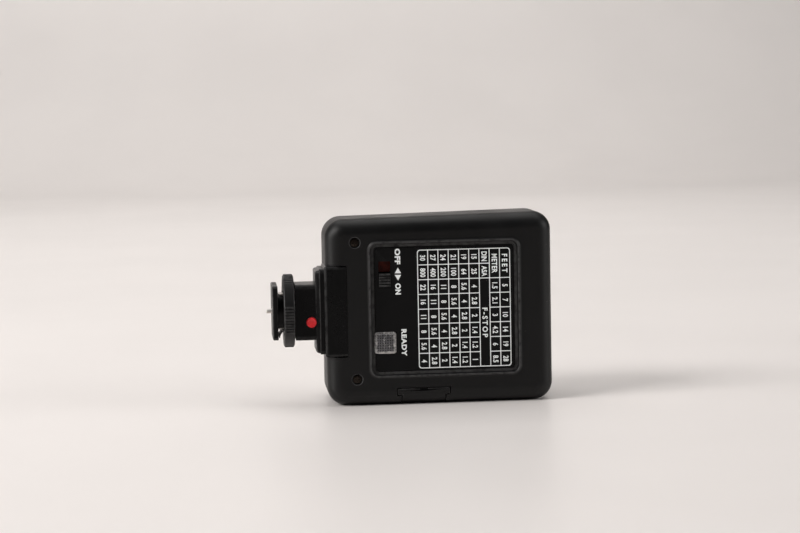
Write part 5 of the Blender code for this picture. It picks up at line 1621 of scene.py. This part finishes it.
@dataclass
class Head:
    """Ribbed window, reflector and flash tube."""

    centre: Step = (60.5, 32.85)
    window: Step = (25.0, 45.0)
    window_face: float = 38.2
    mouth_y: float = 32.6
    mouth: Step = (22.0, 42.0)
    floor_width: float = 4.4
    end_slope: float = 6.0
    depth: float = 13.5
    tube_y: float = 23.6
    tube_radius: float = 2.0
    tube_half: float = 24.0
    sleeve: Place = (2.3, 3.1, 3.6)
    sleeve_reach: float = 19.5
    rib_pitch: float = 1.1
    tube_hole: float = 3.4
    neck: tuple[Step, ...] = ((0.0, 0.5), (2.6, 0.9), (3.2, 1.5), (3.9, 1.9))

    def build(self) -> None:
        """Make every piece of the head."""
        self.lens()
        self.reflector()
        self.tube()
        for name, side in (("lower", -1), ("upper", 1)):
            self.sleeve_ring(name, side)

    def lens(self) -> None:
        """Window with prisms across its inside."""
        x, z = self.centre
        wide, tall = self.window
        lens = BENCH.block("lens", Facing.FRONT, (x, 33.2, z), (wide, 0.0, tall),
                           [(self.window_face - 34.0, 0.0)] + fillet(0.8, 6), 2.5, 8)
        lip = BENCH.block("lip", Facing.FRONT, (x, 32.9, z), (wide + 1.8, 0.0, tall + 1.8),
                          [(0.7, 0.0), (0.1, 0.1)], 3.4, 8)
        BENCH.combine(lens, "UNION", [lip])
        hollow = BENCH.block("hollow", Facing.FRONT, (x, 32.9 - OVERCUT, z), (wide - 3.0, 0.0, tall - 3.0),
                             [(OVERCUT + 3.8, 0.0)], 1.0)
        BENCH.combine(lens, "DIFFERENCE", [hollow])
        rib = BENCH.block("rib", Facing.FRONT, (x, 36.4, z), (1.0, 0.0, tall - 3.6),
                          [(0.35, 0.0), (0.45, 0.46)])
        ribs = [BENCH.copy(rib, Matrix.Translation((self.rib_pitch * step, 0.0, 0.0)))
                for step in range(-9, 10)]
        bpy.data.objects.remove(rib)
        BENCH.combine(lens, "DIFFERENCE", ribs)
        BENCH.deliver(lens, "head_window", WINDOW_CLEAR, ROOT, ["window_lens"])

    def reflector(self) -> None:
        """Polished trough, pierced for the tube."""
        x, z = self.centre
        wide, tall = self.mouth
        trough = BENCH.plate("trough", Facing.BACK, (x, self.mouth_y, z), (wide, 0.0, tall), 0.8)
        steps = 14
        for step in range(steps):
            share = 1.0 - (step + 1) / steps
            y = self.mouth_y - self.depth * (1.0 - share)
            next_wide = self.floor_width + (self.mouth[0] - self.floor_width) * math.sqrt(share)
            next_tall = self.mouth[1] - self.end_slope * (1.0 - share)
            BENCH.pull(Facing.BACK, [(self.depth / steps, 0.0)])
            bpy.ops.transform.resize(value=(next_wide / wide, 1.0, next_tall / tall),
                                     center_override=(x, y, z))
            wide, tall = next_wide, next_tall
        BENCH.choose(trough, "faces", lambda f: abs(f.calc_center_median().y - self.mouth_y) < 0.001)
        bpy.ops.mesh.delete(type="FACE")
        bpy.ops.mesh.select_all(action="SELECT")
        bpy.ops.mesh.normals_make_consistent(inside=False)
        BENCH.clear()
        BENCH.modify(trough, "SOLIDIFY", thickness=0.5, offset=1.0)
        half = self.tube_half
        hole = BENCH.round("hole", Facing.UP, (x, self.tube_y, z - half), [(2 * half, 0.0)],
                           self.tube_hole, 32)
        BENCH.combine(trough, "DIFFERENCE", [hole])
        BENCH.deliver(trough, "head_reflector", ALUMINIUM, ROOT, ["reflector"])

    def tube(self) -> None:
        """Glass tube with drawn-in necks."""
        half = self.tube_half
        ends = [*self.neck, (4.6, self.tube_radius)]
        profile = ends + [(2 * half - along, radius) for along, radius in reversed(ends)]
        x, z = self.centre
        tube = BENCH.turned("tube", Facing.UP, (x, self.tube_y, z - half), profile, 32)
        BENCH.deliver(tube, "head_tube", TUBE_GLASS, ROOT, ["flash_tube"])

    def sleeve_ring(self, name: str, side: int) -> None:
        """Silicone sleeve at one end of the tube.

        Args:
            name: Which end.
            side: -1 or 1 along Z.
        """
        inner, outer, length = self.sleeve
        x, z = self.centre
        low = z + side * self.sleeve_reach - length / 2
        ring = BENCH.round("sleeve", Facing.UP, (x, self.tube_y, low), [(length - 0.3, 0.0)] + fillet(0.3, 3),
                           outer, 32)
        bore = BENCH.round("bore", Facing.UP, (x, self.tube_y, low - OVERCUT), [(length + 2 * OVERCUT, 0.0)],
                           inner, 32)
        BENCH.combine(ring, "DIFFERENCE", [bore])
        BENCH.deliver(ring, f"head_sleeve_{name}", SILICONE_WHITE, ROOT, [f"tube_sleeve_{name}"])


# Camera foot


@dataclass
class Foot:
    """Neck block, foot plate, lock wheel, contacts and test button."""

    axis: Step = (9.5, 32.85)
    saddle: Place = (7.1, 18.05, 31.4)
    shoulder: Place = (-2.9, 16.65, 29.4)
    neck: Place = (-10.5, 15.2, 18.8)
    plate_ends: Step = (-16.45, -18.35)
    plate_size: Place = (0.0, 17.6, 18.6)
    column_radius: float = 7.2
    column_flat: float = 5.2
    column_end: float = -10.8
    wheel_radius: float = 12.65
    wheel_ends: Step = (-10.8, -14.5)
    lobes: int = 4
    ribs: int = 10
    rib_pitch: float = 4.6
    rib_height: float = 0.35
    valley: float = 0.9
    turn: float = 11.0
    washer_radius: float = 10.2
    screw_offset: Step = (4.3, 3.1)
    bore_radius: float = 1.0
    pin_radius: float = 0.85
    hole_round: float = 0.2
    clearance: float = 0.3
    button_hole: float = 1.87
    button: Place = (-5.1, 1.2, 29.35)
    press: Step = (1.2, 0.8)
    leaf_low: float = -8.9
    leaf_length: float = 2.4
    leaf_rise: float = 1.3
    leaf_thickness: float = 0.3
    leaf_width: float = 10.0
    leaf_keep: float = 0.27
    pin_profile: tuple[Step, ...] = ((0.0, 1.3), (0.8, 1.3), (0.8, 0.75), (3.65, 0.75), (3.78, 0.72),
                                     (3.87, 0.65), (3.93, 0.52), (3.95, 0.3))
    button_profile: tuple[Step, ...] = ((0.0, 2.4), (0.7, 2.4), (0.7, 1.75), (3.0, 1.75), (3.12, 1.72),
                                        (3.22, 1.64), (3.28, 1.53), (3.3, 1.4), (3.28, 1.28), (3.23, 1.18),
                                        (3.2, 1.0), (3.19, 0.5), (3.19, 0.1))

    def build(self) -> None:
        """Make every piece of the foot."""
        self.block()
        self.plate()
        self.wheel()
        self.washer()
        for name in ("lower", "upper"):
            self.strip(name)
        self.leaf()
        self.pin()
        self.test_button()
        self.spring("contact_spring", (1.0, 0.0, 0.0), self.press[0])
        self.spring("test_button_spring", (0.0, 1.0, 0.0), self.press[1])
        dress(NICKEL, "contact_terminal", "test_contact", "foot_screw_rear", "foot_screw_front")

    def at(self, x: float) -> Place:
        """Point on the foot's axis."""
        return (x, *self.axis)

    def flats(self, start: float, end: float, half: float) -> bpy.types.Object:
        """Bar that leaves two flats on a round shape.

        Args:
            start: Lowest x.
            end: Highest x.
            half: Distance of each flat from the axis.

        Returns:
            The bar.
        """
        y, z = self.axis
        return BENCH.bar("flats", (start, y - 9.0, z - half), (end, y + 9.0, z + half))

    def bores(self, start: float, end: float) -> list[bpy.types.Object]:
        """Clearance holes for the two foot screws.

        Args:
            start: X of their mouths.
            end: X of their ends.

        Returns:
            The tools.
        """
        y, z = self.axis
        dy, dz = self.screw_offset
        return [BENCH.round("bore", Facing.FOOT, (start, y + side * dy, z - side * dz), [(start - end, 0.0)],
                            self.bore_radius, 24) for side in (-1, 1)]

    def block(self) -> None:
        """Saddle, shoulder and neck in one moulding."""
        y, z = self.axis
        x, deep, tall = self.saddle
        middle = (deep / 2, z)
        block = BENCH.block("block", Facing.FOOT, (x, *middle), (0.0, deep, tall),
                            [(x - 0.3, 0.0)] + fillet(0.9, 6), 1.1, 6)
        x, deep, tall = self.shoulder
        shoulder = BENCH.plate("shoulder", Facing.FOOT, (0.6, *middle), (0.0, deep, tall), 1.4, 6)
        BENCH.pull(Facing.FOOT, [(-x - 0.4, 0.0)] + fillet(0.4, 4))
        for rise, deep_share, tall_share in ((0.9, 0.965, 0.985), (0.4, 0.93, 0.97)):
            bpy.ops.mesh.extrude_region_move(TRANSFORM_OT_translate={"value": Facing.FOOT.out * rise})
            bpy.ops.transform.resize(value=(1.0, deep_share, tall_share), center_override=(x, *middle))
        BENCH.clear()
        x, deep, tall = self.neck
        neck = BENCH.block("neck", Facing.FOOT, (-1.5, y, z - 0.2), (0.0, deep, tall + 0.4),
                           [(-x - 1.8, 0.0)] + fillet(0.3, 3), 1.5, 8)
        tongue = BENCH.bar("tongue", (2.1, 6.4, 14.85), (4.1, 18.05, 50.85))
        for tool in (shoulder, neck, tongue):
            BENCH.combine(block, "UNION", [tool])
        pocket = BENCH.bar("pocket", (-8.0, 3.5, z - 7.8), (8.1, 15.5, z + 7.8))
        BENCH.combine(block, "DIFFERENCE", [pocket])
        depth = 12.0
        centre_bore = BENCH.round("bore", Facing.FOOT, self.at(0.0), [(depth, 0.0)], 2.2, 32)
        BENCH.combine(block, "DIFFERENCE", [centre_bore] + self.bores(0.0, -depth))
        x, _, z = self.button
        y -= deep / 2
        moves = [(OVERCUT, 0.0)] + rim(self.hole_round, 3) + [(3.0, 0.0)]
        hole = BENCH.round("hole", Facing.FRONT, (x, y - OVERCUT, z), moves,
                           self.button_hole + self.hole_round, 48)
        BENCH.combine(block, "DIFFERENCE", [hole])
        BENCH.deliver(block, "foot_block", NECK_BLACK, ROOT, ["shoe_block"])

    def plate(self) -> None:
        """Foot plate and its flat-sided column."""
        start, end = self.plate_ends
        rounding = 0.4
        moves = [(start - end - rounding, 0.0)] + fillet(rounding, 4)
        plate = BENCH.block("plate", Facing.FOOT, self.at(start), self.plate_size, moves, 0.9, 6)
        BENCH.edit(plate, "EDGE")
        BENCH.choose(plate, "edges", lambda e: all(abs(v.co.x - start) < 0.001 for v in e.verts))
        bpy.ops.mesh.bevel(offset=0.25, segments=3, affect="EDGES")
        BENCH.clear()
        length = self.column_end - start + 0.6
        column = BENCH.round("column", Facing.FOOT, self.at(self.column_end), [(length, 0.0)],
                             self.column_radius, 64)
        BENCH.combine(column, "INTERSECT", [self.flats(start - 2.0, self.column_end + 1.0, self.column_flat)])
        BENCH.combine(plate, "UNION", [column])
        mouth = self.column_end + OVERCUT
        bore = BENCH.round("bore", Facing.FOOT, self.at(mouth), [(7.65, 0.0)], 1.6, 32)
        BENCH.combine(plate, "DIFFERENCE", [bore])
        moves = [(OVERCUT, 0.0)] + rim(self.hole_round, 3) + [(3.0, 0.0)]
        hole = BENCH.round("hole", Facing.HEAD, self.at(end - OVERCUT), moves,
                           self.pin_radius + self.hole_round, 32)
        BENCH.combine(plate, "DIFFERENCE", [hole])
        BENCH.combine(plate, "DIFFERENCE", self.bores(mouth, -14.2))
        BENCH.deliver(plate, "foot_plate", FOOT_BLACK, ROOT, ["shoe_foot"])

    def wheel(self) -> None:
        """Lock wheel: ribbed lobes with smooth valleys between them."""
        start, end = self.wheel_ends
        y, z = self.axis
        quarter = 360.0 / self.lobes
        lobe = self.ribs * self.rib_pitch
        body = self.wheel_radius - self.rib_height
        wheel = BENCH.disc("wheel", Facing.FOOT, self.at(start), body, 180)
        sway = quarter / 2 - lobe / 2

        def offset(vertex: Any) -> float:
            """Angle from the middle of the nearest valley."""
            angle = math.degrees(math.atan2(vertex.co.z - z, vertex.co.y - y)) - self.turn - quarter / 2
            return abs((angle + quarter / 2) % quarter - quarter / 2)

        angles = sorted({round(offset(v), 2) for v in bmesh.from_edit_mesh(wheel.data).verts})
        for wanted in angles:
            if wanted < sway:
                drop = (self.valley - self.rib_height) * math.cos(RIGHT_ANGLE * wanted / sway)
                factor = (body - drop) / body
                BENCH.choose(wheel, "verts", lambda v: abs(round(offset(v), 2) - wanted) < 0.001)
                bpy.ops.transform.resize(value=(1.0, factor, factor), center_override=self.at(start))
        bpy.ops.mesh.select_mode(type="FACE")
        bpy.ops.mesh.select_all(action="SELECT")
        BENCH.pull(Facing.FOOT, [(start - end, 0.0)])
        BENCH.choose(wheel, "edges", lambda e: abs(e.verts[0].co.x - e.verts[1].co.x) < 0.001)
        bpy.ops.mesh.bevel(offset=0.4, segments=4, affect="EDGES")
        BENCH.clear()
        top = y - body
        rib = BENCH.block("rib", Facing.BACK, ((start + end) / 2, top + 0.35, z), (3.1, 0.0, 0.66),
                          [(0.42, 0.0)] + fillet(0.26, 4), 0.3, 3)
        middle = Vector(self.at(0.0))
        ribs = []
        for number in range(self.lobes * self.ribs):
            angle = (self.turn - lobe / 2 + (number % self.ribs + 0.5) * self.rib_pitch
                     + quarter * (number // self.ribs))
            ribs.append(BENCH.copy(rib, BENCH.around_foot(math.radians(angle), middle)))
        bpy.data.objects.remove(rib)
        BENCH.combine(wheel, "UNION", ribs)
        moves = [(OVERCUT, 0.0), (1.0, 0.0), (0.0, 3.0), (5.0, 0.0)]
        tool = BENCH.round("seat", Facing.HEAD, self.at(end - OVERCUT), moves,
                           self.washer_radius + self.clearance, 64)
        BENCH.combine(wheel, "DIFFERENCE", [tool])
        BENCH.deliver(wheel, "lock_wheel_ring", WHEEL_BLACK, "wheel", ["lock_wheel"])

    def washer(self) -> None:
        """Keyed ring in the wheel's face."""
        end = self.wheel_ends[1]
        ring = BENCH.round("washer", Facing.FOOT, self.at(end + 0.7), [(0.6, 0.0), (0.1, 0.1)],
                           self.washer_radius, 64)
        hole = BENCH.round("hole", Facing.FOOT, self.at(end + 2.0), [(4.0, 0.0)],
                           self.column_radius + self.clearance, 64)
        BENCH.combine(hole, "INTERSECT", [self.flats(end - 4.0, end + 4.0, self.column_flat + 1.3)])
        BENCH.combine(ring, "DIFFERENCE", [hole])
        BENCH.deliver(ring, "clamp_ring", FOOT_BLACK, "clamp", ["clamp_washer"])

    def strip(self, name: str) -> None:
        """Bright strip along one flat of the column.

        Args:
            name: Which strip.
        """
        node = f"ground_strip_{name}"
        strip = BENCH.bar("strip", *map(tuple, node_box(node)))
        BENCH.soften(strip, 0.18, 60.0, 3)
        BENCH.deliver(strip, f"foot_strip_{name}", NICKEL, ROOT, [node])

    def leaf(self) -> None:
        """Thin leaf that bows up from the plate's lower edge."""
        start = self.plate_ends[0] + 0.3
        y, z = self.axis
        thick = self.leaf_thickness
        leaf = BENCH.plate("leaf", Facing.UP, (start + thick / 2, y, z + self.leaf_low),
                           (thick, self.leaf_width, 0.0))
        steps = 10
        for step in range(steps):
            shift = self.leaf_rise * ((step + 1) ** 2 - step ** 2) / steps ** 2
            move = (shift, 0.0, self.leaf_length / steps)
            bpy.ops.mesh.extrude_region_move(TRANSFORM_OT_translate={"value": move})
        BENCH.clear()
        BENCH.soften(leaf, 0.06, 60.0)
        leaf = BENCH.deliver(leaf, "foot_leaf", BLACK_STEEL, ROOT, ["ground_leaf"])
        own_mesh(leaf)

    def pin(self) -> None:
        """Sprung centre contact with a rounded tip."""
        pin = BENCH.turned("pin", Facing.FOOT, self.at(-16.35), self.pin_profile, 32)
        BENCH.deliver(pin, "foot_pin", NICKEL, "pin", ["contact_pin"])

    def test_button(self) -> None:
        """Red button with a rounded rim round a shallow dish."""
        x, tip, z = self.button
        button = BENCH.turned("button", Facing.BACK, (x, tip + 3.3, z), self.button_profile, 64)
        BENCH.deliver(button, "test_button_cap", BUTTON_RED, "button", ["test_button"])

    def spring(self, node: str, way: Place, travel: float) -> None:
        """Spring copied from its frame node; the share it would shorten by is worked out but not used.

        Args:
            node: Frame node that it is copied from.
            way: Direction of the press.
            travel: How far the press goes.
        """
        low, high = node_box(node)
        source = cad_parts[node]
        mesh = source.data.copy()
        mesh.transform(Matrix.Scale(1.0 / MM, 4) @ Matrix.Translation(-CASE_CORNER) @ source.matrix_world)
        wire = bpy.data.objects.new(node, mesh)
        bpy.context.scene.collection.objects.link(wire)
        wire = BENCH.deliver(wire, f"{node}_wire", NICKEL, ROOT, [node], 60.0)
        share = 1.0 - travel / (high - low).dot(Vector(way))
        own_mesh(wire)


# Studio


@dataclass
class Studio:
    """Pale sweep, soft lights, and the camera."""

    target: Place = (-2.69, -8.525, 47.1)
    distance: float = 692.3
    yaw: float = 5.40
    pitch: float = 4.90
    roll: float = -1.10
    lens: float = 90.0
    sensor: float = 36.0
    lamps: tuple[tuple[str, Place, Place, Step, float, Colour], ...] = (
        ("key", (-1200.0, -560.0, 1100.0), (0.0, 0.0, 30.0), (700.0, 700.0), 19.0, (1.0, 0.97, 0.95)),
        ("left", (-1100.0, -160.0, 330.0), (0.0, 0.0, 30.0), (420.0, 500.0), 5.0, (1.0, 0.98, 0.96)),
        ("right", (1100.0, -260.0, 420.0), (0.0, 0.0, 30.0), (500.0, 600.0), 4.0, (1.0, 0.98, 0.97)),
        ("top", (100.0, 250.0, 1400.0), (0.0, 100.0, 0.0), (1800.0, 1000.0), 10.5, (1.0, 0.98, 0.96)),
        ("back", (0.0, 900.0, 1300.0), (0.0, 1900.0, 300.0), (1800.0, 400.0), 11.0, (1.0, 0.98, 0.96)),
    )
    glow: float = 0.03

    def build(self) -> None:
        """Make the surroundings."""
        self.sweep()
        for lamp in self.lamps:
            self.light(*lamp)
        self.world()
        self.camera()

    def sweep(self) -> None:
        """Floor that curves up into a backdrop."""
        BENCH.clear()
        floor = BENCH.plate("sweep", Facing.UP, (0.0, 0.0, 0.0), (4000.0, 3000.0, 0.0))
        back = 1500.0
        BENCH.choose(floor, "edges", lambda e: all(v.co.y > back - 1.0 for v in e.verts))
        steps = 16
        bend = 500.0
        for step in range(steps):
            first, second = RIGHT_ANGLE * step / steps, RIGHT_ANGLE * (step + 1) / steps
            move = (0.0, bend * (math.sin(second) - math.sin(first)),
                    bend * (math.cos(first) - math.cos(second)))
            bpy.ops.mesh.extrude_edges_move(TRANSFORM_OT_translate={"value": move})
        bpy.ops.mesh.extrude_edges_move(TRANSFORM_OT_translate={"value": (0.0, 0.0, 2000.0)})
        BENCH.clear()
        floor.data.transform(Matrix.Scale(MM, 4))
        floor.data.shade_smooth()
        floor.data.materials.append(FLOOR_PALE.material())

    def light(self, name: str, place: Place, aim: Place, size: Step, power: float,
              colour: Colour) -> None:
        """Soft rectangular lamp.

        Args:
            name: Its name.
            place: Its place in millimetres.
            aim: Point that it faces.
            size: Its width and height.
            power: Its power in watts.
            colour: Its colour.
        """
        lamp = bpy.data.lights.new(name, "AREA")
        lamp.shape = "RECTANGLE"
        lamp.size, lamp.size_y = (side * MM for side in size)
        lamp.energy = power
        lamp.color = colour
        thing = bpy.data.objects.new(name, lamp)
        bpy.context.scene.collection.objects.link(thing)
        thing.location = Vector(place) * MM
        thing.rotation_euler = (Vector(aim) - Vector(place)).to_track_quat("-Z", "Y").to_euler()

    def world(self) -> None:
        """Dim even surroundings."""
        world = bpy.data.worlds.new("surroundings")
        world.use_nodes = True
        background = world.node_tree.nodes["Background"]
        background.inputs["Color"].default_value = (0.95, 0.97, 1.0, 1.0)
        background.inputs["Strength"].default_value = self.glow
        bpy.context.scene.world = world
        bpy.context.scene.view_settings.view_transform = "Standard"

    def camera(self) -> None:
        """Camera at the viewing angle."""
        yaw, pitch, roll = (math.radians(angle) for angle in (self.yaw, self.pitch, self.roll))
        ahead = Vector((math.sin(yaw) * math.cos(pitch), math.cos(yaw) * math.cos(pitch), -math.sin(pitch)))
        level = Vector((math.cos(yaw), -math.sin(yaw), 0.0))
        upright = level.cross(ahead)
        right = level * math.cos(roll) + upright * math.sin(roll)
        up = upright * math.cos(roll) - level * math.sin(roll)
        data = bpy.data.cameras.new("camera")
        data.lens = self.lens
        data.sensor_width = self.sensor
        data.clip_end = 20.0
        thing = bpy.data.objects.new("camera", data)
        bpy.context.scene.collection.objects.link(thing)
        place = (Vector(self.target) - ahead * self.distance) * MM
        turn = Matrix((right, up, -ahead)).transposed().to_4x4()
        thing.matrix_world = Matrix.Translation(place) @ turn
        bpy.context.scene.camera = thing


def main() -> None:
    """Build the flash and its studio."""
    logging.basicConfig(level=logging.INFO, format="%(message)s")
    for part in (Case(), Panel(), Head(), Foot()):
        part.build()
        log.info("built %s", type(part).__name__)
    dress(BOARD_BROWN, "circuit_board")
    dress(TAPE_YELLOW, "oscillator_transformer")
    dress(WIRE_COPPER, "trigger_coil")
    dress(COMPONENT_BLACK, "oscillator_transistor")
    dress(CAPACITOR_BLUE, "flash_capacitor")
    Studio().build()


if __name__ == "__main__":
    main()
